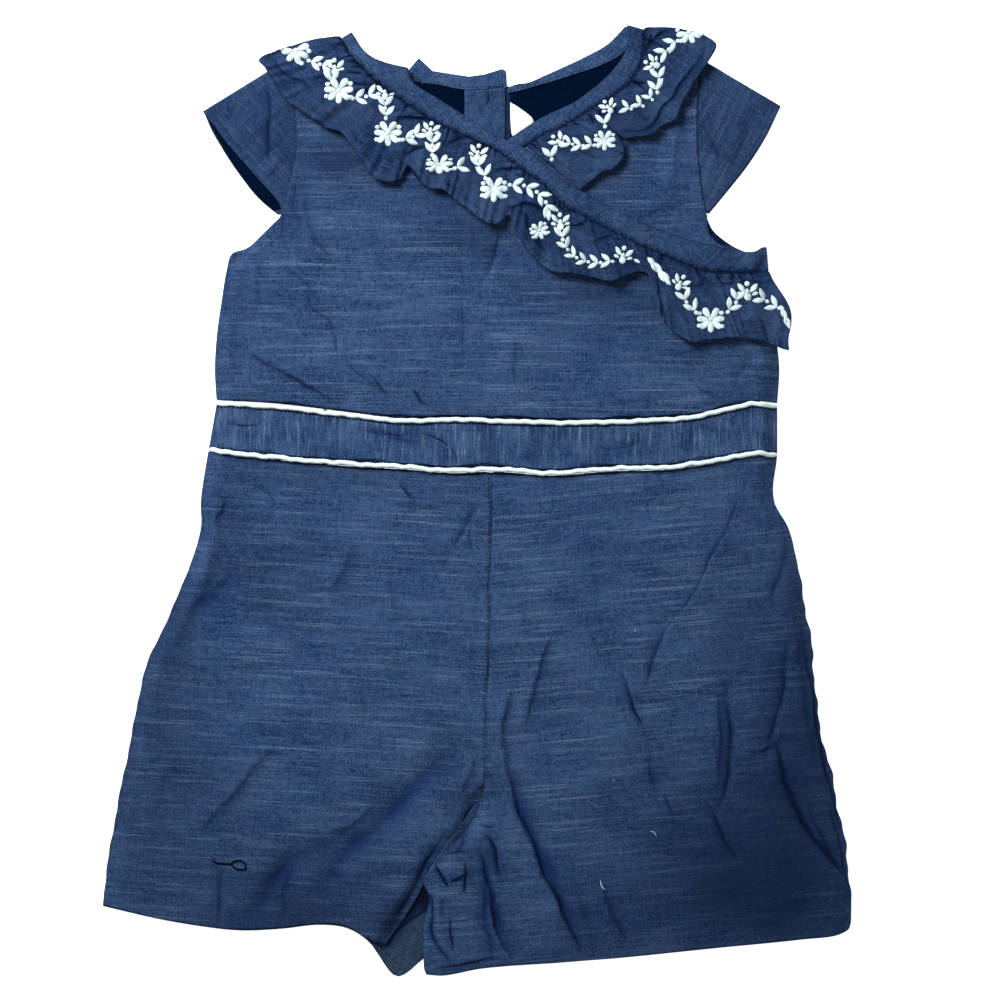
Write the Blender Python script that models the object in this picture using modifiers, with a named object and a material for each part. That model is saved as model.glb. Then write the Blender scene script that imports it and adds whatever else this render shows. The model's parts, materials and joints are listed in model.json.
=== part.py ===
"""Baby romper, laid flat: a wrap bodice with ruffled neck edges, cap sleeves, a piped waistband and shorts.

The model is in metres with +Z up and the neck towards +Y. The tables and sizes below are in
millimetres. The origin is on the surface that the romper lies on, under the middle of its outline.
The wearer's right is at -X, as on any garment seen from its front.
"""
from collections import namedtuple
from math import cos, exp, hypot, pi, sin

import bmesh
import bpy
from mathutils import Vector

MM = 0.001

# Driving dimensions, in millimetres
CLOTH = 1.0                # wall of one layer of cloth
SEAM_GAP = 0.3             # air between two pieces that meet
BAND_THICKNESS = 2.3       # folded bias band round the back neck
PIPING_RADIUS = 1.3        # corded edge above and below the waistband
PIPING_ROOM = PIPING_RADIUS + 0.4   # from the cord's middle to the cloth's edge
BACK_PIPING_WIDTH = 2.0    # the same cord pressed flat under the garment
SIDE_RAMP = 9.0            # width over which a front rises from its side seam
SHOULDER_RAMP = 13.0       # the same below the shoulder seam and beside the armhole
UNDERARM_ROOM = 0.8        # room for each millimetre above the underarm, where no side seam is near
LAYER_RISE = 2.2           # lift of the overlapping front on the one below it
PUFF = 1.5                 # extra height in the middle of the body
RUFFLE_AIR = 1.2           # air between a ruffle and the front that it lies on
UNDERLAP = 9.0             # how far the hidden front stays inside the side seam
EDGE_CROWDING = 0.6        # how much closer a panel's columns stand at its sides
FRONT_RISE = 1.6           # height that a front gains over the ramp
SHORTS_RISE = 1.9
LEAST_SHORTS_RISE = 0.1
PUFF_FADE = 60.0           # distance over which the puff fades at the chest and at the crotch
FOLD_END = 0.35            # share of a fold's height that is left at its ends
FOLD_REACH = 3.0           # half widths beyond which a fold adds nothing
FOLD_EDGE = 12.0           # width over which the bodice's folds fade towards a side seam
WAISTBAND_RISE = 1.3
CROSSING_RISE = 2.6        # further lift where the neck band crosses the ruffle below it
CROSSING_RADIUS = 26.0
SLEEVE_TOP = 4.4           # highest that a sleeve's front layer stands where a ruffle covers it
SLEEVE_FRONT_Z = 3.1       # middle of the wall of a sleeve's front layer
SLEEVE_PUFF = 0.8
FOLD_SHARE = 0.14          # share of a sleeve's girth that turns over at its fold
SLEEVE_LINING_SPAN = (0.08, 0.94)   # where the lining starts and ends along the armhole
SLEEVE_LINING_DEPTH = (0.04, 0.98)  # and from the armhole to the hem
SLEEVE_LINING_STEPS = 8
PIPING_POINTS = 38
HIP_STEPS = 14
OVER_COLUMNS = 38          # columns of the overlapping front, whose seam the neck band shares

# Small shifts from a seam line that keep the pieces on its two sides apart
CENTRE_GAP = 0.6
INSEAM_GAP = 0.9
BACK_BAND_GAP = 0.5
BACK_LINING_GAP = 0.6
RIGHT_NECK_GAP = 0.2
UNDER_NECK_SHIFT = (0.45, -0.5)
OVER_NECK_SHIFT = (-0.25, -0.45)
UNDER_ROOT_SHIFT = (0.6, -0.5)
OVER_ROOT_SHIFT = (-0.4, -0.7)
CORNER_ROOM = 2.0          # least distance from a corner to the next point of a waist seam

BACK_TOP = CLOTH                            # upper face of the back, whose underside is at 0
LINING_TOP = BACK_TOP + SEAM_GAP + CLOTH    # upper face of what lies on the back
LABEL_TOP = LINING_TOP + SEAM_GAP + CLOTH
SEAM_TOP = LINING_TOP                       # upper face of a front where it meets the back

# Heights up the body and places across it
UNDERARM_Y = 128
CHEST_Y = 210
SHOULDER_APEX_Y = 255.4    # where the two shoulder seams would meet
SHOULDER_FALL = 0.33
NECK_MIDDLE_X = 8
OPENING_X = 15.3           # opening in the middle of the back
LEFT_OPENING_Y = 206.6     # top of the opening's two edges
RIGHT_OPENING_Y = 204.2

# Side edges of the body from the underarm to the hem: height up the body, left edge, right edge
Side = namedtuple("Side", "y left right")
SIDES = [
    Side(142, -98, 114.8),
    Side(133, -107.5, 119),
    Side(126, -116, 145),
    Side(116, -125, 145.5),
    Side(101, -127.5, 148),
    Side(83, -130, 149.5),
    Side(66, -131, 151),
    Side(50, -130.2, 150),
    Side(24, -134.5, 150),
    Side(0, -138, 148.5),
    Side(-13, -138, 155.5),
    Side(-36, -145, 161),
    Side(-61, -156, 165),
    Side(-83, -165.5, 168.5),
    Side(-109, -171, 171),
    Side(-145, -178.5, 178.5),
    Side(-175, -183.5, 185),
    Side(-202, -187, 187),
    Side(-240, -187, 185),
]

# Inner edges of the two legs below the crotch
Leg = namedtuple("Leg", "y left right")
LEGS = [
    Leg(-148, 2, 3.2),
    Leg(-157.5, -1.3, 0),
    Leg(-164, -6, -5),
    Leg(-179, -18.6, -17),
    Leg(-193, -27.5, -24.5),
    Leg(-215, -41, -26),
    Leg(-238, -46.5, -26.5),
]
CROTCH_Y = LEGS[0].y

# Seam lines, each from left to right or from top to bottom
Point = namedtuple("Point", "x y")


def points(*pairs):
    return [Point(*pair) for pair in pairs]


LEFT_SHOULDER = points((-91, 222.8), (-69.5, 229.8))
LEFT_ARMHOLE = points((-91, 222.8), (-90.5, 198), (-89.8, 176), (-93.5, 158), (-98, 142))
LEFT_SIDE = points((-98, 142), (-107.5, 133), (-115, 126.5), (-122.5, 123.8), (-125, 116), (-127.5, 101),
                   (-130, 83), (-131, 66), (-130.2, 50.7))
RIGHT_SHOULDER = points((84, 235), (110.5, 221.2))
RIGHT_ARMHOLE = points((110.5, 221.2), (110, 203), (109.8, 178), (112.5, 153), (114.8, 142))
RIGHT_UNDERARM_FRONT = points((114.8, 142), (116.2, 133), (122, 127.4), (129, 124.6), (138, 124), (144.5, 126.8))
RIGHT_UNDERARM_BACK = points((114.8, 142), (117.5, 136), (124, 130.2), (131.5, 125.8), (137, 124.3), (144.5, 126.8))
RIGHT_SIDE = points((144.5, 126.8), (145.5, 114), (148, 101), (149.5, 83), (151, 66), (150, 49.1))
OVER_NECK = points((-62.5, 234.2), (-54.5, 223), (-46.5, 219), (-34.2, 216), (-32.5, 209.8), (-18.5, 200.2),
                   (-7, 192.8), (13.5, 180.2), (22.5, 176.8), (33.5, 167.5), (47, 156.8), (55, 152.8),
                   (71.5, 143.8), (91.5, 135.2), (106.5, 130.2), (118, 127.6), (126, 125.6), (133, 124.4),
                   (138.5, 124.6), (142.5, 126.9), (144.5, 127))
OVER_SEAM = points((-69.5, 229.8), (-56, 215), (-46.7, 206.3), (-33.3, 197), (-20.8, 189), (-6.5, 182.4),
                   (11.2, 173.8), (20.8, 166.2), (34, 156.8), (42.5, 147.5), (56.5, 139.8), (71.5, 132),
                   (80, 128.2), (94.5, 121.8), (106, 117), (114, 114.4), (129, 114), (145.5, 114))
UNDER_NECK = points((74.8, 237.8), (75.8, 230.8), (73, 222.6), (66.7, 214), (57, 205.3), (47.6, 198.7),
                    (33.2, 192), (17.5, 181.8), (9.5, 175.8))
UNDER_SEAM = points((84, 235.2), (83, 223.8), (80, 213.8), (73.5, 206.2), (57, 195.8), (47.5, 189.2),
                    (31.5, 181.8), (22.5, 176), (14.5, 170.2))
UNDER_SEAM_HIDDEN = points((14.5, 170.2), (-20, 150), (-60, 129), (-100, 115), (-115, 110))
BACK_NECK_LEFT = points((-63, 232.8), (-54.5, 222.2), (-46.5, 218.2), (-34.5, 215.2), (-29, 221.5),
                        (-22.2, 215), (-4, 212.2), (3.5, 213.2), (12.5, 216), (14.5, 215))
BACK_SEAM_LEFT = points((-67, 229), (-57.5, 217.8), (-46.5, 211.8), (-32.5, 209.8), (-18.5, 208),
                        (-7.5, 205.8), (1, 205.8), (15, 207.4))
BACK_NECK_RIGHT = points((16, 207), (20, 208.5), (25, 209), (34, 212.8), (53.5, 221.8), (65, 228.2), (74.2, 237.4))
BACK_SEAM_RIGHT = points((17, 205.2), (28.5, 207.2), (47.5, 213), (62, 218), (73, 224), (81.5, 233.2))
UPPER_PIPING = points((-130.2, 49), (-100.5, 47.2), (-62, 42.8), (-33.5, 40), (-15, 40.8), (11.5, 40),
                      (42, 39.2), (83, 40.2), (108.5, 42.2), (127, 46.5), (136, 48.6), (150, 47.4))
LOWER_PIPING = points((-134, 25.8), (-119.5, 24), (-90.5, 21), (-62, 18.8), (-35, 17.2), (-12, 15.4),
                      (7.5, 16.2), (38, 14.2), (67, 16.4), (93.5, 17), (113.5, 19.5), (136, 23.6), (150, 23.4))
CENTRE_SEAM = points((7, 14.5), (6.5, -49), (4.8, -106), (4.2, -131), (2.4, -148))
LEFT_INSEAM = points((1.2, -149.4), (-4.4, -157.5), (-8.2, -164), (-15.2, -173.3), (-21, -182.2), (-25.8, -190),
                     (-30.2, -198.3), (-36.5, -208.5), (-45.5, -221.5))
RIGHT_INSEAM = points((3.4, -148.8), (-5.5, -164), (-16, -179.4), (-24, -192.8), (-22.5, -199), (-24.5, -212),
                      (-25.8, -227), (-25.2, -236.4))
LEFT_HEM = points((-187, -201.2), (-158.5, -207.8), (-138.5, -211.2), (-118.5, -213), (-98.5, -212.2),
                  (-71, -210.4), (-63.5, -212.4), (-55, -217.4), (-45.5, -221.5))
LEFT_BACK_HEM = points((-187, -202.2), (-158.5, -208.8), (-136, -212.6), (-118.5, -214.4), (-98, -213.6),
                       (-78, -211.6), (-64.5, -213.4), (-54, -220.2), (-49.5, -226.3), (-45.3, -232.7),
                       (-41.8, -236.6), (-39, -237.4), (-26.8, -228.6))
RIGHT_HEM = points((-25.2, -236.4), (-16, -236.2), (1.5, -232.8), (41.5, -229.6), (71.5, -227.2),
                   (121.5, -222.2), (161.5, -218.2), (181.5, -215.2), (185.5, -210.4))

CROSSING = Point(45, 163)
LABEL = points((17, 198.8), (20, 197.2), (24.2, 194), (27.4, 191.2), (19, 184.4), (17, 184.2))

# Edges of the lining and of the facing, up to the seam of the band round the back neck
LINING_LEFT = points((-36, 205), (-6.5, 186), (-6.5, 205))
FACING = points((-6.2, 186), (14, 175), (14, 206.5))
FACING_TOP_LEFT = Point(-6.2, 205)
LINING_RIGHT = points((17, 178), (33, 185), (57, 197), (76, 213))

# Each sleeve: the fold along its top, then its edges from the fold to the underarm
Sleeve = namedtuple("Sleeve", "fold armhole front_hem back_hem")
SLEEVES = {
    "left": Sleeve(
        points((-91, 222.8), (-137, 194.8)),
        points((-91.5, 221), (-91, 198), (-90.3, 176), (-94, 158), (-96.2, 150.5)),
        points((-136.1, 193.3), (-126, 177.3), (-113.5, 161.8), (-104, 153.2), (-97.6, 148.4)),
        points((-136.1, 193.3), (-128, 179.5), (-122, 169.6), (-111, 154.5), (-99.6, 143.6)),
    ),
    "right": Sleeve(
        points((110.5, 221.2), (152, 197.8)),
        points((111, 219.6), (110.5, 203), (110.3, 178), (113, 153), (115, 147)),
        points((151, 196), (144.5, 183.2), (135, 168.5), (124.5, 155.2), (116.5, 145.8)),
        points((151, 196), (145.2, 182.6), (136, 167.5), (125.6, 154.2), (117.2, 144.4)),
    ),
}

# One row for each wave of a ruffle: distance along its seam, where its free edge lies, and the edge's lift
Wave = namedtuple("Wave", "along x y lift")
OVER_RUFFLE = [
    Wave(0, -97, 225, 1.0), Wave(3, -108, 220, 2.0), Wave(8, -105, 215, 2.5), Wave(15, -98, 203, 1.0),
    Wave(23, -87.5, 194, 3.0), Wave(29, -75.5, 186, 1.0), Wave(34, -67.5, 183, 2.5), Wave(40, -62, 176, 3.5),
    Wave(46, -52.5, 162, 2.5), Wave(50, -45, 158.5, 2.0), Wave(54, -39, 159.5, 1.0), Wave(58, -34.5, 166, 0.3),
    Wave(62, -29.5, 160, 2.0), Wave(69, -23, 155, 3.0), Wave(76, -17, 154.5, 2.5), Wave(83, -11.5, 150, 1.0),
    Wave(92, -3.5, 144, 2.5), Wave(100, 5, 138, 3.5), Wave(105, 11, 138, 2.5), Wave(110, 15.5, 142, 0.5),
    Wave(115, 17.5, 139, 0.4), Wave(119, 20.5, 131, 2.5), Wave(124, 27, 122, 3.5), Wave(129, 37, 114, 2.0),
    Wave(137, 47, 113, 3.0), Wave(146, 57.5, 111, 1.5), Wave(154, 66.5, 109, 3.0), Wave(163, 72.5, 111, 2.0),
    Wave(170, 81.5, 114, 0.3), Wave(175, 88.5, 109, 0.5), Wave(182, 90, 100, 3.0), Wave(189, 93.5, 88, 3.5),
    Wave(197, 105.5, 79, 2.0), Wave(207, 113.5, 80, 1.0), Wave(216, 123.5, 81, 2.5), Wave(225, 131, 81, 1.0),
    Wave(235, 140, 80, 2.5), Wave(251, 155, 75, 1.5),
]
UNDER_RUFFLE = [
    Wave(0, 111.5, 233, 1.0), Wave(4, 119, 227, 1.5), Wave(8, 114.5, 218, 1.5), Wave(13, 110, 211, 0.6),
    Wave(19, 105.5, 204, 1.8), Wave(25, 102, 198, 1.2), Wave(31, 99, 190, 1.8), Wave(38, 93, 187, 1.0),
    Wave(44, 86, 182, 1.8), Wave(51, 78.5, 181, 1.0), Wave(55, 72.5, 181, 1.8), Wave(59, 68.5, 185, 0.3),
    Wave(63, 71, 180, 0.6), Wave(67, 73.5, 174, 1.6), Wave(72, 71.5, 169, 1.0), Wave(76, 67.5, 165, 1.4),
    Wave(80, 63, 164, 0.6), Wave(84, 56.5, 159, 0.8), Wave(89, 51.5, 155, 0.5),
]

# One row for each large fold: its two ends, its half width and its height, below zero for a trough
Fold = namedtuple("Fold", "x1 y1 x2 y2 width height")
BODICE_FOLDS = [
    Fold(-7, 104, -7, 54, 5, -1.0),
    Fold(12, 134, 1, 108, 4, -0.9),
    Fold(17, 81, 17, 59, 5, 0.8),
    Fold(-114, 76, -65, 48, 6, 1.2),
    Fold(-86, 104, -42, 53, 6, -1.0),
    Fold(-30, 58, -24, 49, 4, 0.8),
    Fold(-87, 155, -73, 120, 6, 1.2),
    Fold(70, 74, 96, 60, 8, 0.8),
]
SHORTS_FOLDS = [
    Fold(-5, -123, -104, -209, 10, -2.0),
    Fold(-20, -130, -90, -188, 8, 1.6),
    Fold(-91, -172, -107, -209, 8, -1.4),
    Fold(-102, -121, -137, -163, 9, 1.4),
    Fold(-129, -11, -152, -69, 8, 1.2),
    Fold(-67, -22, -75, -43, 6, 1.0),
    Fold(140, 17, 116, -30, 6, 1.4),
    Fold(116, -30, 100, -60, 6, 1.2),
    Fold(94, -65, 86, -92, 5, -1.0),
    Fold(71, -84, 84, -111, 5, 1.2),
    Fold(84, -111, 89, -141, 5, 1.0),
    Fold(34, -70, 22, -111, 6, 1.1),
    Fold(124, -89, 124, -135, 6, -1.0),
    Fold(155, -55, 143, -119, 6, 1.2),
    Fold(149, -119, 165, -165, 6, -1.2),
    Fold(10, -119, 25, -172, 7, -2.0),
    Fold(25, -172, 52, -219, 7, -1.8),
    Fold(22, -125, 40, -175, 7, 1.6),
    Fold(1, -177, 12, -222, 6, 1.4),
    Fold(115, -150, 127, -174, 6, 1.0),
    Fold(61, -196, 71, -221, 6, 1.0),
]


# Curves

def smooth_step(x):
    """From 0 at x = 0 to 1 at x = 1, level at both ends."""
    x = min(max(x, 0), 1)
    return x * x * (3 - 2 * x)


def hermite(a, b, slope_a, slope_b, span, t):
    square, cube = t * t, t * t * t
    return ((2 * cube - 3 * square + 1) * a + (cube - 2 * square + t) * span * slope_a
            + (3 * square - 2 * cube) * b + (cube - square) * span * slope_b)


def smooth_table(keys, values):
    """A smooth function through values at rising keys."""
    last = len(keys) - 1
    steps = [(values[i + 1] - values[i]) / (keys[i + 1] - keys[i]) for i in range(last)]
    slopes = [steps[0]] + [(steps[i - 1] + steps[i]) / 2 for i in range(1, last)] + [steps[-1]]

    def value(key):
        key = min(max(key, keys[0]), keys[-1])
        i = max(j for j in range(last) if keys[j] <= key)
        span = keys[i + 1] - keys[i]
        return hermite(values[i], values[i + 1], slopes[i], slopes[i + 1], span, (key - keys[i]) / span)
    return value


def line_through(row):
    """A smooth curve through points, as a function of the share of its length, and that length."""
    lengths = [0]
    for a, b in zip(row, row[1:]):
        lengths.append(lengths[-1] + hypot(b.x - a.x, b.y - a.y))
    x_at = smooth_table(lengths, [p.x for p in row])
    y_at = smooth_table(lengths, [p.y for p in row])

    def at(share):
        return Vector((x_at(share * lengths[-1]), y_at(share * lengths[-1])))
    return at, lengths[-1]


def curve(*rows):
    """Rows of points end to end, each smooth in itself, with a corner where two meet."""
    lines = [line_through(row) for row in rows]
    total = sum(length for line, length in lines)

    def at(share):
        along = share * total
        for line, length in lines[:-1]:
            if along <= length:
                return line(along / length)
            along -= length
        line, length = lines[-1]
        return line(min(along / length, 1))
    return at


def traced(row, per_span=2):
    """The points of a row with the smooth curve's own points between them."""
    line, total = line_through(row)
    found, along = [], 0
    for a, b in zip(row, row[1:]):
        span = hypot(b.x - a.x, b.y - a.y)
        found += [Point(*line((along + span * i / per_span) / total)) for i in range(per_span)]
        along += span
    return found + [row[-1]]


def across(row, low, high, dy=0):
    """The curve through points that run to the right, between two places across, moved up by dy."""
    height = smooth_table([p.x for p in row], [p.y for p in row])

    def at(share):
        x = low + (high - low) * share
        return Vector((x, height(x) + dy))
    return at


def moved(row, dx, dy):
    return [Point(p.x + dx, p.y + dy) for p in row]


def back(row):
    return list(reversed(row))


def patch(top, bottom, left, right):
    """A flat patch between four curves: top and bottom run to the right, left and right run up."""
    low_left, low_right = bottom(0), bottom(1)
    high_left, high_right = top(0), top(1)

    def at(u, v):
        between_rows = bottom(u) * (1 - v) + top(u) * v
        between_sides = left(v) * (1 - u) + right(v) * u
        corners = (low_left * (1 - u) + low_right * u) * (1 - v) + (high_left * (1 - u) + high_right * u) * v
        return between_rows + between_sides - corners
    return at


def strip(low, high):
    """A flat patch between two curves that run to the right."""
    def at(u, v):
        return low(u) * (1 - v) + high(u) * v
    return at


# Heights of the layers

def table_by_height(table, column):
    rows = back(table)
    return smooth_table([row.y for row in rows], [getattr(row, column) for row in rows])


left_side = table_by_height(SIDES, "left")
right_side = table_by_height(SIDES, "right")
left_inseam = table_by_height(LEGS, "left")
right_inseam = table_by_height(LEGS, "right")


def side_room(x, y):
    """Distance in from the nearer side seam. Above the underarm there is none, so it grows."""
    return min(x - left_side(y), right_side(y) - x) + max(0, y - UNDERARM_Y) * UNDERARM_ROOM


def shoulder_room(x, y):
    """Distance down from the shoulder seam, which falls outwards from the neck."""
    fall = SHOULDER_FALL * abs(x - NECK_MIDDLE_X)
    return SHOULDER_APEX_Y - fall - y


def fold_relief(x, y, folds):
    """Height that the large folds add at a point."""
    total = 0
    for fold in folds:
        run = Vector((fold.x2 - fold.x1, fold.y2 - fold.y1))
        offset = Vector((x - fold.x1, y - fold.y1))
        along = min(max(offset.dot(run) / run.length_squared, 0), 1)
        away = (offset - run * along).length / fold.width
        if away < FOLD_REACH:
            total += fold.height * exp(-away * away) * (FOLD_END + (1 - FOLD_END) * sin(pi * along))
    return total


def body_puff(x, y):
    """From 0 at the sides of the body to 1 in its middle."""
    half = (right_side(y) - left_side(y)) / 2
    share = min(abs(x - left_side(y) - half) / half, 1)
    return 1 - share ** 4


def under_top(x, y):
    """Upper face of a front that lies on the back alone."""
    rise = FRONT_RISE * smooth_step(side_room(x, y) / SIDE_RAMP) * smooth_step(shoulder_room(x, y) / SHOULDER_RAMP)
    return SEAM_TOP + rise + PUFF * body_puff(x, y) * smooth_step((CHEST_Y - y) / PUFF_FADE)


def over_top(x, y):
    """Upper face of the overlapping front, lifted more where it crosses the ruffle below it."""
    room = min(side_room(x, y) / SIDE_RAMP, shoulder_room(x, y) / SHOULDER_RAMP)
    if y > UNDERARM_Y:
        room = min(room, (x - LEFT_ARMHOLE[0].x) / SHOULDER_RAMP)
    crossing = CROSSING_RISE * exp(-((x - CROSSING.x) ** 2 + (y - CROSSING.y) ** 2) / CROSSING_RADIUS ** 2)
    relief = fold_relief(x, y, BODICE_FOLDS) * smooth_step(side_room(x, y) / FOLD_EDGE)
    return under_top(x, y) + (LAYER_RISE + crossing) * smooth_step(room) + relief


def under_band_top(x, y):
    return max(under_top(x, y), LINING_TOP + CLOTH + 2 * SEAM_GAP)


def over_band_top(x, y):
    """Clear of the front below it where the two fronts cross, and of the back band at the shoulder."""
    return max(over_top(x, y), under_top(x, y) + CLOTH + 2 * SEAM_GAP, LINING_TOP + CLOTH + 2 * SEAM_GAP)


def waistband_top(x, y):
    return under_top(x, y) + WAISTBAND_RISE * smooth_step(side_room(x, y) / SIDE_RAMP)


def shorts_top(x, y):
    """Upper face of the shorts: below the crotch each leg rises from its own two edges."""
    above_crotch = max(0, y - CROTCH_Y)
    if x < (left_inseam(y) + right_inseam(y)) / 2:
        inner, outer = left_inseam(y) - x, x - left_side(y)
    else:
        inner, outer = x - right_inseam(y), right_side(y) - x
    edge = smooth_step(min(outer, inner + above_crotch) / SIDE_RAMP)
    share = min(abs(outer - inner) / (outer + inner), 1)
    leg_puff = 1 - share ** 4
    puff = leg_puff + (body_puff(x, y) - leg_puff) * smooth_step(above_crotch / PUFF_FADE)
    height = SEAM_TOP + SHORTS_RISE * edge + PUFF * puff + fold_relief(x, y, SHORTS_FOLDS) * edge
    return max(height, SEAM_TOP + LEAST_SHORTS_RISE)


# Building

def clear_scene():
    for item in list(bpy.data.objects):
        bpy.data.objects.remove(item, do_unlink=True)


def make_material(name, colour, roughness):
    made = bpy.data.materials.new(name)
    made.use_nodes = True
    shader = made.node_tree.nodes["Principled BSDF"]
    shader.inputs["Base Color"].default_value = (*colour, 1)
    shader.inputs["Roughness"].default_value = roughness
    shader.inputs["Metallic"].default_value = 0
    return made


def add_object(name, data, material):
    item = bpy.data.objects.new(name, data)
    data.materials.append(material)
    romper.objects.link(item)
    item.parent = root
    return item


def add_grid(name, material, cells, place, thickness, offset):
    """Cloth whose face is a grid with its points at place(u, v), given a wall by Solidify."""
    grid = bmesh.new()
    bmesh.ops.create_grid(grid, x_segments=cells[0], y_segments=cells[1], size=0.5)
    for vert in grid.verts:
        vert.co = Vector(place(vert.co.x + 0.5, vert.co.y + 0.5)) * MM
    data = bpy.data.meshes.new(name)
    grid.to_mesh(data)
    grid.free()
    data.shade_smooth()
    item = add_object(name, data, material)
    wall = item.modifiers.new("Wall", "SOLIDIFY")
    wall.thickness = thickness * MM
    wall.offset = offset
    wall.use_even_offset = True
    return item


def add_cloth(name, material, cells, outline, top, thickness=CLOTH, crowding=0):
    """A layer inside a flat outline(u, v), whose upper face is at top(x, y) and whose wall is below it."""
    def place(u, v):
        x, y = outline(u - crowding * sin(2 * pi * u) / (2 * pi), v)
        return x, y, top(x, y)
    return add_grid(name, material, cells, place, thickness, offset=-1)


def add_flat(name, material, sides, low, high):
    """A flat piece whose outline runs round through its sides, from one height to another."""
    drawn = bpy.data.curves.new(name, "CURVE")
    drawn.dimensions = "2D"
    drawn.fill_mode = "BOTH"
    drawn.extrude = (high - low) / 2 * MM
    outline = [point for side in sides for point in side]
    line = drawn.splines.new("POLY")
    line.points.add(len(outline) - 1)
    for drawn_point, point in zip(line.points, outline):
        drawn_point.co = (point[0] * MM, point[1] * MM, 0, 1)
    line.use_cyclic_u = True
    item = add_object(name, drawn, material)
    item.location.z = (low + high) / 2 * MM


def add_backs():
    """The two halves of the back bodice meet at the opening in the middle of the neck."""
    waist = moved(traced(UPPER_PIPING), 0, PIPING_ROOM)
    left_waist = [p for p in waist if LEFT_SIDE[-1].x < p.x < OPENING_X - CORNER_ROOM]
    right_waist = [p for p in waist if OPENING_X + CORNER_ROOM < p.x < RIGHT_SIDE[-1].x]
    waist_y = left_waist[-1].y
    sides = [left_waist, points((OPENING_X, waist_y), (OPENING_X, LEFT_OPENING_Y)),
             back(moved(traced(BACK_SEAM_LEFT), 0, -BACK_BAND_GAP))[1:], traced(LEFT_SHOULDER)[:1],
             traced(LEFT_ARMHOLE)[1:], traced(LEFT_SIDE)[1:]]
    add_flat("bodice_back_left", chambray, sides, 0, BACK_TOP)
    opening_x = OPENING_X + SEAM_GAP
    sides = [points((opening_x, RIGHT_OPENING_Y), (opening_x, waist_y)), right_waist, back(traced(RIGHT_SIDE)),
             back(traced(RIGHT_UNDERARM_BACK))[1:], back(traced(RIGHT_ARMHOLE))[1:], traced(RIGHT_SHOULDER)[:1],
             back(moved(traced(BACK_SEAM_RIGHT), RIGHT_NECK_GAP, -BACK_BAND_GAP))]
    add_flat("bodice_back_right", chambray, sides, 0, BACK_TOP)


def add_neck_inside():
    """What shows inside the neck: the bands round the back, the lining, the facing and the label."""
    sides = [traced(BACK_SEAM_LEFT), back(BACK_NECK_LEFT)]
    add_flat("neck_band_back_left", chambray, sides, 0, BAND_THICKNESS)
    sides = [traced(BACK_SEAM_RIGHT), back(traced(BACK_NECK_RIGHT))]
    add_flat("neck_band_back_right", chambray, sides, 0, BAND_THICKNESS)
    low = BACK_TOP + SEAM_GAP
    seam = moved(traced(BACK_SEAM_LEFT), 0, -BACK_LINING_GAP)
    left_seam = [p for p in seam if LINING_LEFT[0].x < p.x < LINING_LEFT[-1].x]
    facing_seam = [p for p in seam if FACING[0].x <= p.x < FACING[-1].x]
    add_flat("lining_left", lining, [LINING_LEFT, back(left_seam)], low, LINING_TOP)
    add_flat("placket_facing", chambray, [FACING, back(facing_seam), [FACING_TOP_LEFT]], low, LINING_TOP)
    seam = moved(traced(BACK_SEAM_RIGHT), RIGHT_NECK_GAP, -BACK_LINING_GAP)
    right_seam = [p for p in seam if p.x < LINING_RIGHT[-1].x]
    add_flat("lining_right", lining, [LINING_RIGHT, back(right_seam)], low, LINING_TOP)
    add_flat("neck_label", white, [LABEL], LINING_TOP + SEAM_GAP, LABEL_TOP)


def add_fronts():
    """The wearer's left front lies below and ends inside the far side seam; the other crosses over it."""
    hidden_left = moved(back(LEFT_SIDE[5:]), UNDERLAP, 0) + [UNDER_SEAM_HIDDEN[-1]]
    hidden_right = moved(back(RIGHT_SIDE[1:]), -UNDERLAP, -2)
    neck = curve(back(moved(UNDER_SEAM + UNDER_SEAM_HIDDEN[1:], *UNDER_NECK_SHIFT)))
    hidden_left[-1] = Point(*neck(0))
    outline = patch(neck, across(UPPER_PIPING, hidden_left[0].x, hidden_right[0].x, PIPING_ROOM),
                    curve(hidden_left),
                    curve(hidden_right, [hidden_right[-1], RIGHT_SIDE[0]], back(RIGHT_UNDERARM_FRONT),
                          back(RIGHT_ARMHOLE), [RIGHT_ARMHOLE[0], Point(*neck(1))]))
    add_cloth("bodice_front_under", chambray, (22, 10), outline, under_top)
    neck = curve(moved(OVER_SEAM, *OVER_NECK_SHIFT))
    outline = patch(neck, across(UPPER_PIPING, LEFT_SIDE[-1].x, RIGHT_SIDE[-1].x, PIPING_ROOM),
                    curve(back(LEFT_SIDE), back(LEFT_ARMHOLE), [LEFT_ARMHOLE[0], Point(*neck(0))]),
                    curve(back(RIGHT_SIDE[2:]) + [Point(*neck(1))]))
    add_cloth("bodice_front_over", chambray, (OVER_COLUMNS, 12), outline, over_top, crowding=EDGE_CROWDING)


def add_neck_bands():
    outline = strip(curve(back(UNDER_SEAM)), curve(back(UNDER_NECK)))
    add_cloth("neck_band_under", chambray, (18, 2), outline, under_band_top)
    outline = strip(curve(OVER_SEAM), curve(OVER_NECK[:4], OVER_NECK[3:]))
    add_cloth("neck_band_over", chambray, (OVER_COLUMNS, 2), outline, over_band_top, crowding=EDGE_CROWDING)


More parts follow.
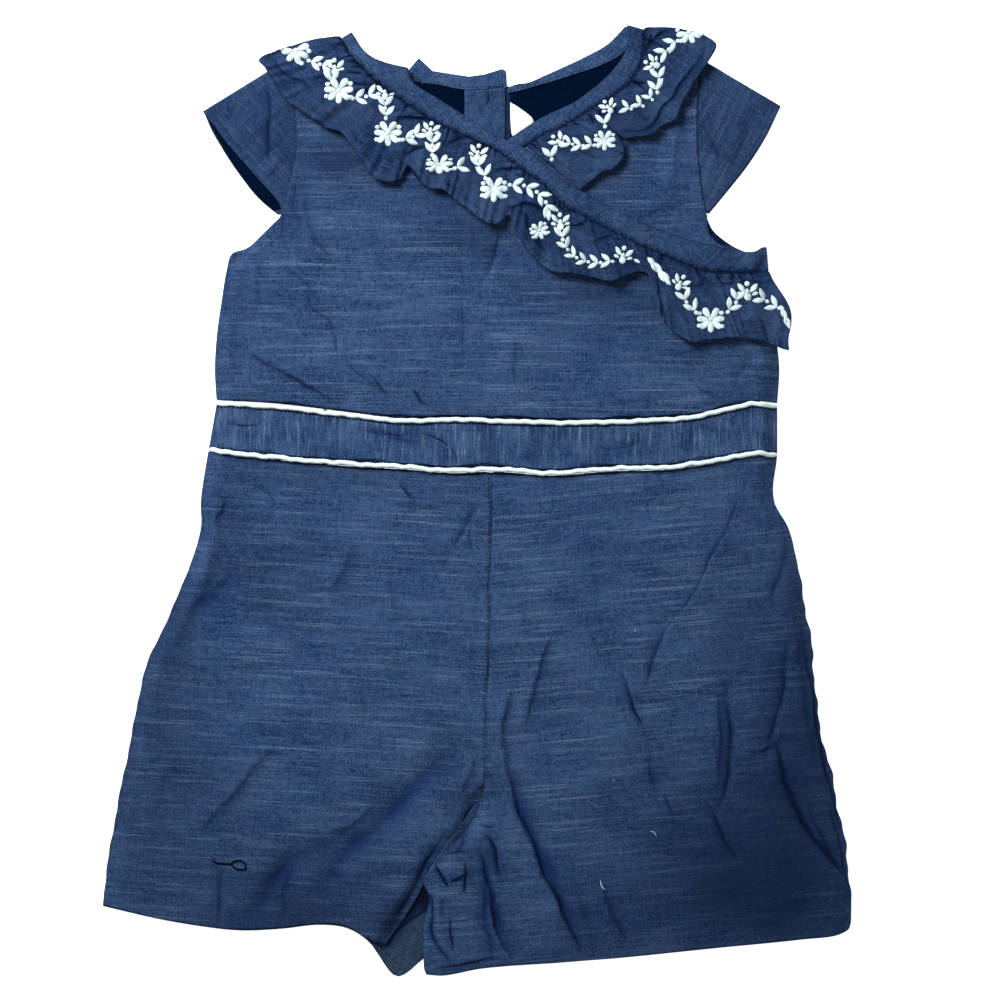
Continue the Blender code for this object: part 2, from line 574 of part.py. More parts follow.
def add_ruffle(name, seam_row, waves, front_top, cells, shift):
    """A gathered strip sewn along a seam; each row of its table is a wave of its free edge."""
    seam, length = line_through(seam_row)
    numbers = list(range(len(waves)))
    along_at = smooth_table(numbers, [wave.along for wave in waves])
    x_at = smooth_table(numbers, [wave.x for wave in waves])
    y_at = smooth_table(numbers, [wave.y for wave in waves])
    lift_at = smooth_table(numbers, [wave.lift for wave in waves])

    def place(u, v):
        number = u * numbers[-1]
        out = 1 - v
        root_point = seam(min(along_at(number) / length, 1)) + Vector(shift)
        free_edge = Vector((x_at(number), y_at(number)))
        x, y = root_point.lerp(free_edge, out)
        ground = max(front_top(x, y), SLEEVE_TOP)
        return x, y, ground + CLOTH + RUFFLE_AIR * smooth_step(out * 3) + SEAM_GAP + lift_at(number) * out ** 1.5
    item = add_grid(name, chambray, cells, place, CLOTH, offset=-1)
    item.modifiers["Wall"].use_even_offset = False
    return item


def add_ruffles():
    ruffle = add_ruffle("ruffle_under", UNDER_SEAM, UNDER_RUFFLE, under_top, (36, 4), UNDER_ROOT_SHIFT)
    ruffle.data.flip_normals()
    add_ruffle("ruffle_over", OVER_SEAM, OVER_RUFFLE, over_top, (74, 4), OVER_ROOT_SHIFT)


def add_sleeve(name, sleeve):
    """A cap sleeve folded along the shoulder, in two layers that taper to the underarm."""
    radius = (SLEEVE_FRONT_Z - CLOTH / 2) / 2
    start, end = sleeve.fold
    fold_line = Vector((end.x - start.x, end.y - start.y)).normalized()
    outward = Vector((-fold_line.y, fold_line.x))
    if outward.y < 0:
        outward = -outward
    armhole_at, front_at, back_at = curve(sleeve.armhole), curve(sleeve.front_hem), curve(sleeve.back_hem)

    def place(u, v):
        around = 2 * v - 1
        share = max(0, (abs(around) - FOLD_SHARE) / (1 - FOLD_SHARE))
        hem_at = front_at if around > 0 else back_at
        point = armhole_at(share).lerp(hem_at(share), u)
        if abs(around) < FOLD_SHARE:
            angle = around / FOLD_SHARE * pi / 2
            point = point + outward * radius * cos(angle)
            return point.x, point.y, CLOTH / 2 + radius + radius * sin(angle)
        if around < 0:
            return point.x, point.y, CLOTH / 2
        puff = SLEEVE_PUFF * sin(pi * share) * sin(pi * u)
        return point.x, point.y, SLEEVE_FRONT_Z + puff
    return add_grid(name, chambray, (6, 20), place, CLOTH, offset=0)


def add_sleeve_lining(name, sleeve):
    """The dark lining on the inner face of the sleeve's back layer."""
    armhole_at, hem_at = curve(sleeve.armhole), curve(sleeve.back_hem)
    first, last = SLEEVE_LINING_SPAN
    shares = [first + (last - first) * i / SLEEVE_LINING_STEPS for i in range(SLEEVE_LINING_STEPS + 1)]
    inner, outer = [[armhole_at(share).lerp(hem_at(share), depth) for share in shares]
                    for depth in SLEEVE_LINING_DEPTH]
    add_flat(name, lining, [inner, back(outer)], BACK_TOP + SEAM_GAP, LINING_TOP)


def add_sleeves():
    for side, sleeve in SLEEVES.items():
        add_sleeve("sleeve_" + side, sleeve)
        add_sleeve_lining("sleeve_lining_" + side, sleeve)


def add_piping(name, row):
    """A round cord along the front of a waist seam."""
    height = smooth_table([p.x for p in row], [p.y for p in row])
    cord = bpy.data.curves.new(name, "CURVE")
    cord.dimensions = "3D"
    cord.bevel_depth = PIPING_RADIUS * MM
    cord.bevel_resolution = 2
    cord.use_fill_caps = True
    line = cord.splines.new("POLY")
    line.points.add(PIPING_POINTS - 1)
    for i, point in enumerate(line.points):
        x = row[0].x + (row[-1].x - row[0].x) * i / (PIPING_POINTS - 1)
        y = height(x)
        point.co = (x * MM, y * MM, (waistband_top(x, y) + SEAM_GAP) * MM, 1)
    add_object(name, cord, white)


def add_waist():
    left_upper, right_upper = UPPER_PIPING[0].x, UPPER_PIPING[-1].x
    left_lower, right_lower = LOWER_PIPING[0].x, LOWER_PIPING[-1].x
    outline = strip(across(LOWER_PIPING, left_lower, right_lower, PIPING_ROOM),
                    across(UPPER_PIPING, left_upper, right_upper, -PIPING_ROOM))
    add_cloth("waistband_front", chambray, (40, 2), outline, waistband_top)
    upper, lower = traced(UPPER_PIPING), traced(LOWER_PIPING)
    sides = [moved(lower, 0, PIPING_ROOM), back(moved(upper, 0, -PIPING_ROOM))]
    add_flat("waistband_back", chambray, sides, 0, BACK_TOP)
    half = BACK_PIPING_WIDTH / 2
    for name, row in (("upper", UPPER_PIPING), ("lower", LOWER_PIPING)):
        add_piping("piping_front_" + name, row)
        sides = [moved(traced(row), 0, -half), back(moved(traced(row), 0, half))]
        add_flat("piping_back_" + name, white, sides, 0, BACK_TOP)


def up_the_side(side, low, high):
    def at(share):
        y = low + (high - low) * share
        return Vector((side(y), y))
    return at


def add_shorts():
    """Four panels: a front and a back for each leg, joined in the middle down to the crotch."""
    half_gap = CENTRE_GAP / 2
    left_centre, right_centre = moved(CENTRE_SEAM, -half_gap, 0), moved(CENTRE_SEAM, half_gap, 0)
    left_top = across(LOWER_PIPING, LOWER_PIPING[0].x, left_centre[0].x, -PIPING_ROOM)
    right_top = across(LOWER_PIPING, right_centre[0].x, LOWER_PIPING[-1].x, -PIPING_ROOM)
    left_hip = up_the_side(left_side, LEFT_HEM[0].y, left_top(0).y)
    right_hip = up_the_side(right_side, RIGHT_HEM[-1].y, right_top(1).y)
    outline = patch(left_top, curve(LEFT_HEM), left_hip, curve(back(LEFT_INSEAM), back(left_centre)))
    add_cloth("shorts_front_left", chambray, (16, 20), outline, shorts_top, crowding=EDGE_CROWDING)
    outline = patch(right_top, curve(RIGHT_HEM), curve(back(RIGHT_INSEAM), back(right_centre)), right_hip)
    add_cloth("shorts_front_right", chambray, (16, 20), outline, shorts_top, crowding=EDGE_CROWDING)
    waist = moved(traced(LOWER_PIPING), 0, -PIPING_ROOM)
    left_waist = [p for p in waist if LOWER_PIPING[0].x < p.x < left_centre[0].x - CORNER_ROOM]
    right_waist = [p for p in waist if right_centre[0].x + CORNER_ROOM < p.x < LOWER_PIPING[-1].x]
    inner = moved(RIGHT_INSEAM[:-2], -INSEAM_GAP, 0)
    left_edge, right_edge = [[Point(*hip(i / HIP_STEPS)) for i in range(HIP_STEPS + 1)]
                             for hip in (left_hip, right_hip)]
    sides = [traced(LEFT_BACK_HEM[:-1]), [LEFT_BACK_HEM[-1]], back(traced(inner))[1:-1], back(traced(left_centre)),
             back(left_waist), back(left_edge)[:-1]]
    add_flat("shorts_back_left", chambray, sides, 0, BACK_TOP)
    sides = [traced(RIGHT_HEM), right_edge[1:], back(right_waist), traced(right_centre), traced(RIGHT_INSEAM)[1:-1]]
    add_flat("shorts_back_right", chambray, sides, 0, BACK_TOP)


clear_scene()
romper = bpy.data.collections.new("baby_romper")
bpy.context.scene.collection.children.link(romper)
root = bpy.data.objects.new("baby_romper", None)
romper.objects.link(root)
chambray = make_material("Chambray", (0.042, 0.075, 0.165), 0.85)
lining = make_material("Lining", (0.012, 0.022, 0.055), 0.8)
white = make_material("White trim", (0.82, 0.87, 0.88), 0.7)

add_backs()
add_neck_inside()
add_fronts()
add_neck_bands()
add_ruffles()
add_sleeves()
add_waist()
add_shorts()
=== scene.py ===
# Baby romper laid flat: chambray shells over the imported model, with ruffles, embroidery, piping and stitching.
# Tables and sizes are in millimetres and are turned into metres where a mesh is made.
import json
import math

import bmesh
import bpy
import numpy as np
from mathutils import Matrix, Vector
from mathutils.bvhtree import BVHTree

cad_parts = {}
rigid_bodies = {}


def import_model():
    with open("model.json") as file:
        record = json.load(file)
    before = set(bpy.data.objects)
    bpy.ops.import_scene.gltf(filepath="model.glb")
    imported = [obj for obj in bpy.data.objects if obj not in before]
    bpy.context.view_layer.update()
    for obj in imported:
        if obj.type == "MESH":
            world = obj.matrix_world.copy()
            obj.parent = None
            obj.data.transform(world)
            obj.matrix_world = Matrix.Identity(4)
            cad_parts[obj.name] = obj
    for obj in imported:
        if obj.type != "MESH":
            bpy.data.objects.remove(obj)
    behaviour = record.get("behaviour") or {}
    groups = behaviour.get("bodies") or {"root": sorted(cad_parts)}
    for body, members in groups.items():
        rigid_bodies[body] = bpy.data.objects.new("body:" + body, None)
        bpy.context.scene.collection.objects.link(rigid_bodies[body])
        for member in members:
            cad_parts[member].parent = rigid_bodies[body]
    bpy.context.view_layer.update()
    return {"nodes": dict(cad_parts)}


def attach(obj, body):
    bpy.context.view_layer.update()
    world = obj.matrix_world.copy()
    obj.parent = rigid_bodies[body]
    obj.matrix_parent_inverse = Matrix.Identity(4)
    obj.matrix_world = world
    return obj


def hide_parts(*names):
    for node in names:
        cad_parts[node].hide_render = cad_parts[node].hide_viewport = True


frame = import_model()
mm = 0.001
print("frame loaded:", len(frame["nodes"]), "nodes")

# camera, light and floor
studio = {
    "cameraHeight": 1300, "pictureWidth": 500, "sensor": 36,
    "pictureCentre": (11.5, 0.75),
    "floorSize": 6000, "floorDrop": 0.25,
    "keyPlace": (-640, 760, 880), "keySize": 620, "keyPower": 27, "floorGlow": 0.86,
    "fillPlace": (900, -300, 1300), "fillSize": 1400, "fillPower": 3.6,
    "skyColour": (0.95, 0.97, 1), "skyStrength": 0.21,
}


def meshFrom(drawn, name):
    mesh = bpy.data.meshes.new(name)
    drawn.to_mesh(mesh)
    drawn.free()
    return mesh


def pointsOf(mesh):
    flat = np.zeros(len(mesh.vertices) * 3)
    mesh.vertices.foreach_get("co", flat)
    return flat.reshape(-1, 3)


def inScene(name, content):
    item = bpy.data.objects.new(name, content)
    bpy.context.scene.collection.objects.link(item)
    return item


def setInputs(tree, node, inputs):
    # an input is a number, a colour or the output of another node
    for name, value in inputs.items():
        socket = node.inputs[name]
        if isinstance(value, bpy.types.NodeSocket):
            tree.links.new(value, socket)
        else:
            socket.default_value = (*value, 1) if socket.type == "RGBA" else value


def addNode(tree, kind, inputs={}, **settings):
    node = tree.nodes.new("ShaderNode" + kind)
    for name, value in settings.items():
        setattr(node, name, value)
    setInputs(tree, node, inputs)
    return node


def newMaterial(name, inputs):
    made = bpy.data.materials.new(name)
    made.use_nodes = True
    shader = made.node_tree.nodes["Principled BSDF"]
    setInputs(made.node_tree, shader, inputs)
    return made, made.node_tree, shader


def addAreaLight(name, place, size, power):
    lamp = bpy.data.lights.new(name, "AREA")
    lamp.shape = "DISK"
    lamp.size = size * mm
    lamp.energy = power
    item = inScene(name, lamp)
    item.location = Vector(place) * mm
    item.rotation_euler = (-item.location).to_track_quat("-Z", "Y").to_euler()  # towards the middle


def makeStudio():
    scene = bpy.context.scene
    lens = bpy.data.cameras.new("camera")
    lens.sensor_width = studio["sensor"]
    lens.lens = studio["sensor"] * studio["cameraHeight"] / studio["pictureWidth"]
    scene.camera = inScene("camera", lens)
    x, y = studio["pictureCentre"]
    scene.camera.location = (x * mm, y * mm, studio["cameraHeight"] * mm)
    for name in ("key", "fill"):
        addAreaLight(name + "Light", *[studio[name + part] for part in ("Place", "Size", "Power")])
    scene.world = bpy.data.worlds.new("softSky")
    scene.world.use_nodes = True
    tree = scene.world.node_tree
    setInputs(tree, tree.nodes["Background"], {"Color": studio["skyColour"], "Strength": studio["skyStrength"]})
    scene.view_settings.view_transform = "Standard"
    drawn = bmesh.new()
    bmesh.ops.create_grid(drawn, x_segments=1, y_segments=1, size=studio["floorSize"] / 2 * mm)
    bmesh.ops.translate(drawn, verts=drawn.verts, vec=(0, 0, -studio["floorDrop"] * mm))
    floor = inScene("floor", meshFrom(drawn, "floor"))
    white, grey = (1, 1, 1), (0.93, 0.93, 0.93)
    paper = newMaterial("floorPaper", {"Base Color": grey, "Roughness": 0.9, "Emission Color": white,
                                       "Emission Strength": studio["floorGlow"]})[0]
    floor.data.materials.append(paper)


makeStudio()
print("studio ready")

# seam lines, as points from left to right or from top to bottom
seams = {
    "leftShoulder": [(-91, 222.8), (-69.5, 229.8)],
    "leftArmhole": [(-91, 222.8), (-90.5, 198), (-89.8, 176), (-93.5, 158), (-98, 142)],
    "leftSide": [
        (-98, 142), (-107.5, 133), (-115, 126.5), (-122.5, 123.8), (-125, 116), (-127.5, 101), (-130, 83),
        (-131, 66), (-130.2, 50.7),
    ],
    "rightShoulder": [(84, 235), (110.5, 221.2)],
    "rightArmhole": [(110.5, 221.2), (110, 203), (109.8, 178), (112.5, 153), (114.8, 142)],
    "underarmFront": [(114.8, 142), (116.2, 133), (122, 127.4), (129, 124.6), (138, 124), (144.5, 126.4)],
    "underarmBack": [(114.8, 142), (117.5, 136), (124, 130.2), (131.5, 125.8), (137, 124.3), (144.5, 126.6)],
    "rightSide": [(144.5, 126.8), (145.5, 114), (148, 101), (149.5, 83), (151, 66), (150, 49.1)],
    "overNeck": [
        (-62.5, 234.2), (-54.5, 223), (-46.5, 219), (-34.2, 216), (-32.5, 209.8), (-18.5, 200.2), (-7, 192.8),
        (13.5, 180.2), (22.5, 176.8), (33.5, 167.5), (47, 156.8), (55, 152.8), (71.5, 143.8), (91.5, 135.2),
        (106.5, 130.2), (118, 127.6), (126, 125.6), (133, 124.4), (138.5, 124.6), (142.5, 126.9), (144.5, 127),
    ],
    "overSeam": [
        (-69.5, 229.8), (-56, 215), (-46.7, 206.3), (-33.3, 197), (-20.8, 189), (-6.5, 182.4), (11.2, 173.8),
        (20.8, 166.2), (34, 156.8), (42.5, 147.5), (56.5, 139.8), (71.5, 132), (80, 128.2), (94.5, 121.8),
        (106, 117), (114, 114.4), (129, 114), (145.5, 114),
    ],
    "underNeck": [
        (74.8, 237.8), (75.8, 230.8), (73, 222.6), (66.7, 214), (57, 205.3), (47.6, 198.7), (33.2, 192),
        (17.5, 181.8), (9.5, 175.8),
    ],
    "underSeam": [
        (84, 235.2), (83, 223.8), (80, 213.8), (73.5, 206.2), (57, 195.8), (47.5, 189.2), (31.5, 181.8),
        (22.5, 176), (14.5, 170.2),
    ],
    "underSeamHidden": [(14.5, 170.2), (-20, 150), (-60, 129), (-100, 115), (-115, 110)],
    "backNeckLeft": [
        (-63, 232.8), (-54.5, 222.2), (-46.5, 218.2), (-34.5, 215.2), (-29, 221.5), (-22.2, 215), (-4, 212.2),
        (3.5, 213.2), (12.5, 216), (14.5, 215),
    ],
    "backSeamLeft": [
        (-67, 229), (-57.5, 217.8), (-46.5, 211.8), (-32.5, 209.8), (-18.5, 208), (-7.5, 205.8), (1, 205.8),
        (15, 207.4),
    ],
    "backNeckRight": [
        (15.5, 206.8), (20, 208.5), (25, 209), (34, 212.8), (53.5, 221.8), (65, 228.2), (74.2, 237.4),
    ],
    "backSeamRight": [(15.5, 203.8), (28.5, 207.2), (47.5, 213), (62, 218), (73, 224), (81.5, 233.2)],
    "upperPiping": [
        (-130.2, 49), (-100.5, 47.2), (-62, 42.8), (-33.5, 40), (-15, 40.8), (11.5, 40), (42, 39.2), (83, 40.2),
        (108.5, 42.2), (127, 46.5), (136, 48.6), (150, 47.4),
    ],
    "lowerPiping": [
        (-134, 25.8), (-119.5, 24), (-90.5, 21), (-62, 18.8), (-35, 17.2), (-12, 15.4), (7.5, 16.2), (38, 14.2),
        (67, 16.4), (93.5, 17), (113.5, 19.5), (136, 23.6), (150, 23.4),
    ],
    "centreSeam": [(7, 14.5), (6.5, -49), (4.8, -106), (4.2, -131), (2.4, -148)],
    "leftInseam": [
        (2.2, -148.2), (-1.2, -157.5), (-6, -164), (-14.8, -173.3), (-21, -182.2), (-25.8, -190),
        (-30.2, -198.3), (-36.5, -208.5), (-45.5, -221.5),
    ],
    "rightInseam": [
        (3.4, -148.8), (-5.5, -164), (-16, -179.4), (-24, -192.8), (-22.5, -199), (-24.5, -212), (-25.8, -227),
        (-25.2, -236.4),
    ],
    "leftHem": [
        (-187, -201.2), (-158.5, -207.8), (-138.5, -211.2), (-118.5, -213), (-98.5, -212.2), (-71, -210.4),
        (-63.5, -212.4), (-55, -217.4), (-45.5, -221.5),
    ],
    "leftBackHem": [
        (-187, -202.2), (-158.5, -208.8), (-136, -212.6), (-118.5, -214.4), (-98, -213.6), (-78, -211.6),
        (-64.5, -213.4), (-54, -220.2), (-49.5, -226.3), (-45.3, -232.7), (-41.8, -236.6), (-39, -237.4),
        (-26.8, -228.6),
    ],
    "rightHem": [
        (-25.2, -236.4), (-16, -236.2), (1.5, -232.8), (41.5, -229.6), (71.5, -227.2), (121.5, -222.2),
        (161.5, -218.2), (181.5, -215.6), (185.6, -213.4), (186.6, -210),
    ],
}

# height up the body, left edge, right edge
bodySides = [
    (142, -98, 114.8), (133, -107.5, 119), (126, -116, 145), (116, -125, 145.5), (101, -127.5, 148),
    (83, -130, 149.5), (66, -131, 151), (50, -130.2, 150), (24, -134.5, 150), (0, -138, 148.5),
    (-13, -138, 155.5), (-36, -145, 161), (-61, -156, 165), (-83, -165.5, 168.5), (-109, -171, 171),
    (-145, -178.5, 178.5), (-175, -183.5, 185), (-202, -187, 187), (-240, -187, 185),
]
legEdges = [(-148, 2, 3.2), (-157.5, -1.3, 0), (-164, -6, -5), (-179, -18.6, -17), (-193, -27.5, -24.5),
            (-215, -41, -26), (-238, -46.5, -26.5)]

# heights of the layers
layers = {
    "wall": 0.55, "seamTop": 1.15, "crown": 3.9, "sideRamp": 9, "shoulderRamp": 13,
    "overlap": 2.2, "puff": 1.5, "bandRise": 1.3, "shortsRise": 3.0,
    "crossing": (45, 163), "crossingRise": 2.6, "crossingRadius": 26,
    "underarmY": 128, "shoulderApex": 255.4, "shoulderFall": 0.33, "neckMiddle": 8,
}


def reversedRow(row):
    return list(reversed(row))


def movedRow(row, dx, dy):
    return [(x + dx, y + dy) for x, y in row]


def smoothStep(x):
    x = np.clip(x, 0, 1)
    return x * x * (3 - 2 * x)


def smoothTable(keys, values):
    # a smooth function through values at rising keys
    keys, values = np.array(keys, float), np.array(values, float)
    steps = np.diff(values) / np.diff(keys)
    slopes = np.concatenate([steps[:1], (steps[:-1] + steps[1:]) / 2, steps[-1:]])

    def valueAt(key):
        key = np.clip(key, keys[0], keys[-1])
        i = np.clip(np.searchsorted(keys, key, side="right") - 1, 0, len(keys) - 2)
        span = keys[i + 1] - keys[i]
        t = (key - keys[i]) / span
        square, cube = t * t, t * t * t
        return ((2 * cube - 3 * square + 1) * values[i] + (cube - 2 * square + t) * span * slopes[i]
                + (3 * square - 2 * cube) * values[i + 1] + (cube - square) * span * slopes[i + 1])
    return valueAt


def lineThrough(row):
    # a smooth curve through points, by the share of its length, and that length
    x, y = np.array(row, float).T
    lengths = np.concatenate([[0], np.cumsum(np.hypot(np.diff(x), np.diff(y)))])
    xAt, yAt = smoothTable(lengths, x), smoothTable(lengths, y)

    def placeAt(share):
        along = np.asarray(share) * lengths[-1]
        return np.stack([xAt(along), yAt(along)], axis=-1)
    return placeAt, lengths[-1]


def curveOf(*rows):
    # rows of points end to end, each smooth in itself, with a corner where two meet
    drawn = []
    for row in rows:
        placeAt, length = lineThrough(row)
        drawn.append(placeAt(np.linspace(0, 1, max(2, int(length / 0.4)))))
    drawn = np.concatenate(drawn)
    lengths = np.concatenate([[0], np.cumsum(np.hypot(*np.diff(drawn, axis=0).T))])

    def placeAt(share):
        along = np.asarray(share) * lengths[-1]
        return np.stack([np.interp(along, lengths, column) for column in drawn.T], axis=-1)
    return placeAt


def heightAlong(row):
    return smoothTable(*np.array(row, float).T)


def acrossOf(row, low, high, dy=0):
    # the stretch of a seam between two places across the body
    height = heightAlong(row)

    def placeAt(share):
        at = low + (high - low) * np.asarray(share)
        return np.stack([at, height(at) + dy], axis=-1)
    return placeAt


def patchOf(top, bottom, left, right):
    # a flat patch between four curves: top and bottom run to the right, left and right run up
    lowLeft, lowRight, highLeft, highRight = bottom(0.0), bottom(1.0), top(0.0), top(1.0)

    def placeAt(u, v):
        uu, vv = u[:, None], v[:, None]
        rows = bottom(u) * (1 - vv) + top(u) * vv
        columns = left(v) * (1 - uu) + right(v) * uu
        corners = (lowLeft * (1 - uu) + lowRight * uu) * (1 - vv) + (highLeft * (1 - uu) + highRight * uu) * vv
        return rows + columns - corners
    return placeAt


def stripOf(low, high):
    return lambda u, v: low(u) * (1 - v[:, None]) + high(u) * v[:, None]


def tableByHeight(table, column):
    rows = reversedRow(table)
    return smoothTable([row[0] for row in rows], [row[column] for row in rows])


leftSideAt, rightSideAt = tableByHeight(bodySides, 1), tableByHeight(bodySides, 2)
leftInseamAt, rightInseamAt = tableByHeight(legEdges, 1), tableByHeight(legEdges, 2)
upperPipingAt, lowerPipingAt = heightAlong(seams["upperPiping"]), heightAlong(seams["lowerPiping"])


def sideRoom(x, y):
    return np.minimum(x - leftSideAt(y), rightSideAt(y) - x) + np.maximum(0, y - layers["underarmY"]) * 0.8


def shoulderRoom(x, y):
    return layers["shoulderApex"] - layers["shoulderFall"] * np.abs(x - layers["neckMiddle"]) - y


def bodyPuff(x, y):
    half = (rightSideAt(y) - leftSideAt(y)) / 2
    return 1 - np.minimum(np.abs(x - leftSideAt(y) - half) / half, 1) ** 4


# A crease follows its path. Its height falls away within the left and right widths, seen along the path, so
# a narrow one is the crisp side. The last two columns are the depth of its painted shade line and of the soft
# painted shade beside it, which lies at the foot of a ridge and in the middle of a trough. The shade lines are
# kept as distances in layers, and the finish draws them, so they stay sharp between the points. The last column
# of the folds is the soft painted shade.
foldLayers = 6
folding = {
    "farAway": 9, "pathStep": 4, "reach": 3, "margin": 4, "lineDepth": 1.3, "lineReach": 2.2, "taper": 0.6,
    "wander": [(0.35, 4.3), (0.4, 9), (0.14, 1.7)],  # size and length of the waves a crease makes
    "uneven": (0.82, 0.18, 3.9), "longEnough": 12,  # how a longer crease's depth varies along it
    "crown": (0.1, 0.3), "fall": 0.6,  # roundness of the ridge's top, and how fast it falls
}


def freeLayer(taken, low, high):
    # the first layer in which nothing is drawn nearby; the last one is the gathers'
    for layer, boxes in enumerate(taken):
        if all(low[0] > box[2] or high[0] < box[0] or low[1] > box[3] or high[1] < box[1] for box in boxes):
            break
    taken[layer].append((*low, *high))
    return layer


def creaseFields(x, y, creases):
    relief, folds = np.zeros_like(x), np.zeros((x.size, 2 * foldLayers + 1))
    folds[:, :foldLayers] = folding["farAway"]
    taken = [[] for _ in range(foldLayers - 1)]
    for path, height, left, right, dark, soft in creases:
        pathAt, length = lineThrough(path)
        points = pathAt(np.linspace(0, 1, max(3, int(length / folding["pathStep"]) + 1)))
        reach = folding["reach"] * max(left, right) + folding["margin"]
        low, high = points.min(axis=0) - reach, points.max(axis=0) + reach
        near = np.flatnonzero((x > low[0]) & (x < high[0]) & (y > low[1]) & (y < high[1]))
        px, py = x[near], y[near]
        best, aside, t = np.full(near.size, 1e9), np.zeros(near.size), np.zeros(near.size)
        for i in range(len(points) - 1):
            (x1, y1), (x2, y2) = points[i], points[i + 1]
            span = math.hypot(x2 - x1, y2 - y1)
            alongX, alongY = (x2 - x1) / span, (y2 - y1) / span
            along = np.clip((px - x1) * alongX + (py - y1) * alongY, 0, span)
            offX, offY = px - x1 - along * alongX, py - y1 - along * alongY
            distance = np.hypot(offX, offY)
            closer = distance < best
            best = np.where(closer, distance, best)
            aside = np.where(closer, np.where(offY * alongX > offX * alongY, distance, -distance), aside)
            t = np.where(closer, (i + along / span) / (len(points) - 1), t)
        startX, startY = points[0]
        for (size, wave), phase in zip(folding["wander"], (startX, startY, 2 * startY)):
            aside = aside + size * np.sin(t * length / wave + phase)
        mean, change, wave = folding["uneven"]
        uneven = mean + change * np.sin(t * length / wave + 3 * startX) if length > folding["longEnough"] else 1
        fade = np.clip(4 * t * (1 - t), 0, 1) ** folding["taper"]
        width = np.where(aside > 0, left, right)
        radius = folding["crown"][0] * width + folding["crown"][1]
        run = (np.sqrt(aside * aside + radius * radius) - radius) / width
        relief[near] += height * fade * np.exp(-run * (1 + folding["fall"] * run))
        narrow, wide = min(left, right), max(left, right)
        if height > 0 and left != right:
            side = 1 if left < right else -1
            off = aside - side * (0.4 * narrow + 0.3)
            blur = np.where(off * side > 0, min(2.3, 0.9 + 0.25 * wide), 0.85)
            spread = np.where(off * side > 0, 0.45 * wide + 0.8, 0.3 * narrow + 0.4)
        else:
            off = aside
            blur, spread = np.clip(width / 2.4, 0.8, 2.0), 0.55 * width + 0.8
        folds[near, -1] += fade * uneven * soft * np.exp(-(np.abs(off) / spread) ** 1.6)
        if dark:
            layer = freeLayer(taken, points.min(axis=0) - 3.2, points.max(axis=0) + 3.2)
            closer = np.abs(off / blur) < np.abs(folds[near, layer])
            folds[near[closer], layer] = (off / blur)[closer]
            ends = smoothStep((np.abs(off) - folding["lineReach"]) / folding["lineReach"])
            depth = folding["lineDepth"] * dark * fade * uneven * (1 - ends)
            folds[near[closer], foldLayers + layer] = depth[closer]
    return relief, folds


def paintedShadeOn(creases, shadePatches):
    # the painted shade and the painted shade lines of the folds over a piece
    def shadeAt(x, y):
        return paintedShadeField(x, y, shadePatches), creaseFields(x, y, creases)[1]
    return shadeAt


def paintedShadeField(x, y, patches):
    # soft patches of painted shade, and of painted light where the depth is below zero: x, y, half width, half
    # height, depth
    total = np.zeros_like(x)
    for px, py, halfX, halfY, depth in patches:
        total += depth * np.exp(-((x - px) / halfX) ** 2 - ((y - py) / halfY) ** 2)
    return total


def rippleField(x, y, seed, scale, stretch, turn):
    # uneven soft ripples from a few crossing waves, about -1 to 1
    rng = np.random.default_rng(seed)
    cosT, sinT = math.cos(math.radians(turn)), math.sin(math.radians(turn))
    a, b = (x * cosT + y * sinT) / scale, (y * cosT - x * sinT) / (scale * stretch)
    total = np.zeros_like(x)
    for i in range(7):
        fx, fy = rng.uniform(0.5, 1.6, 2) * rng.choice([-1, 1], 2)
        total += np.sin(fx * a * 2 + fy * b * 2 + rng.uniform(0, 6.28) + 0.8 * np.sin(fy * a * 0.7 + i))
    return total / 4


def addPiece(name, mesh, finish, node=None):
    item = inScene(name, mesh)
    mesh.materials.append(finishes[finish])
    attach(item, "root")
    if node:
        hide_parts(node)
    return item


def addWall(item, wall, offset=-1):
    thick = item.modifiers.new("wall", "SOLIDIFY")
    thick.thickness = wall * mm
    thick.offset = offset
    thick.use_even_offset = False


def storeOn(mesh, name, values):
    # one number or three at every point, for the finish to read
    kind, key = ("FLOAT", "value") if values.ndim == 1 else ("FLOAT_VECTOR", "vector")
    layer = mesh.attributes.new(name, kind, "POINT")
    layer.data.foreach_set(key, values.astype(np.float32).ravel())


def setMesh(mesh, spots, cloth, shade=None, folds=None):
    # spots are the points in millimetres, cloth their places on the flat fabric, shade the painted shade
    mesh.vertices.foreach_set("co", (spots * mm).astype(np.float32).ravel())
    corners = np.zeros(len(mesh.loops), np.int32)
    mesh.loops.foreach_get("vertex_index", corners)
    mesh.uv_layers.new(name="cloth").data.foreach_set("uv", (cloth[corners] * mm).astype(np.float32).ravel())
    if shade is not None:
        storeOn(mesh, "shade", np.clip(shade, -0.5, 2))
    if folds is not None:
        for number, name in enumerate(("foldsA", "foldsB", "lineShadesA", "lineShadesB")):
            storeOn(mesh, name, folds[:, 3 * number:3 * number + 3])
        storeOn(mesh, "foldShade", np.clip(folds[:, -1], 0, 0.8))
    mesh.update()
    mesh.shade_smooth()


def addShell(name, node, cells, place, finish="body", wall=layers["wall"], offset=-1, flipped=False):
    # a grid of cloth, set in its place and given its wall
    drawn = bmesh.new()
    bmesh.ops.create_grid(drawn, x_segments=cells[0], y_segments=cells[1], size=0.5)
    mesh = meshFrom(drawn, name)
    flat = pointsOf(mesh)
    setMesh(mesh, *place(flat[:, 0] + 0.5, flat[:, 1] + 0.5))
    if flipped:
        mesh.flip_normals()
    item = addPiece(name, mesh, finish, node)
    addWall(item, wall, offset)
    return item


def turned(points, degrees):
    c, s = math.cos(math.radians(degrees)), math.sin(math.radians(degrees))
    return np.stack([points[:, 0] * c + points[:, 1] * s, points[:, 1] * c - points[:, 0] * s], axis=-1)


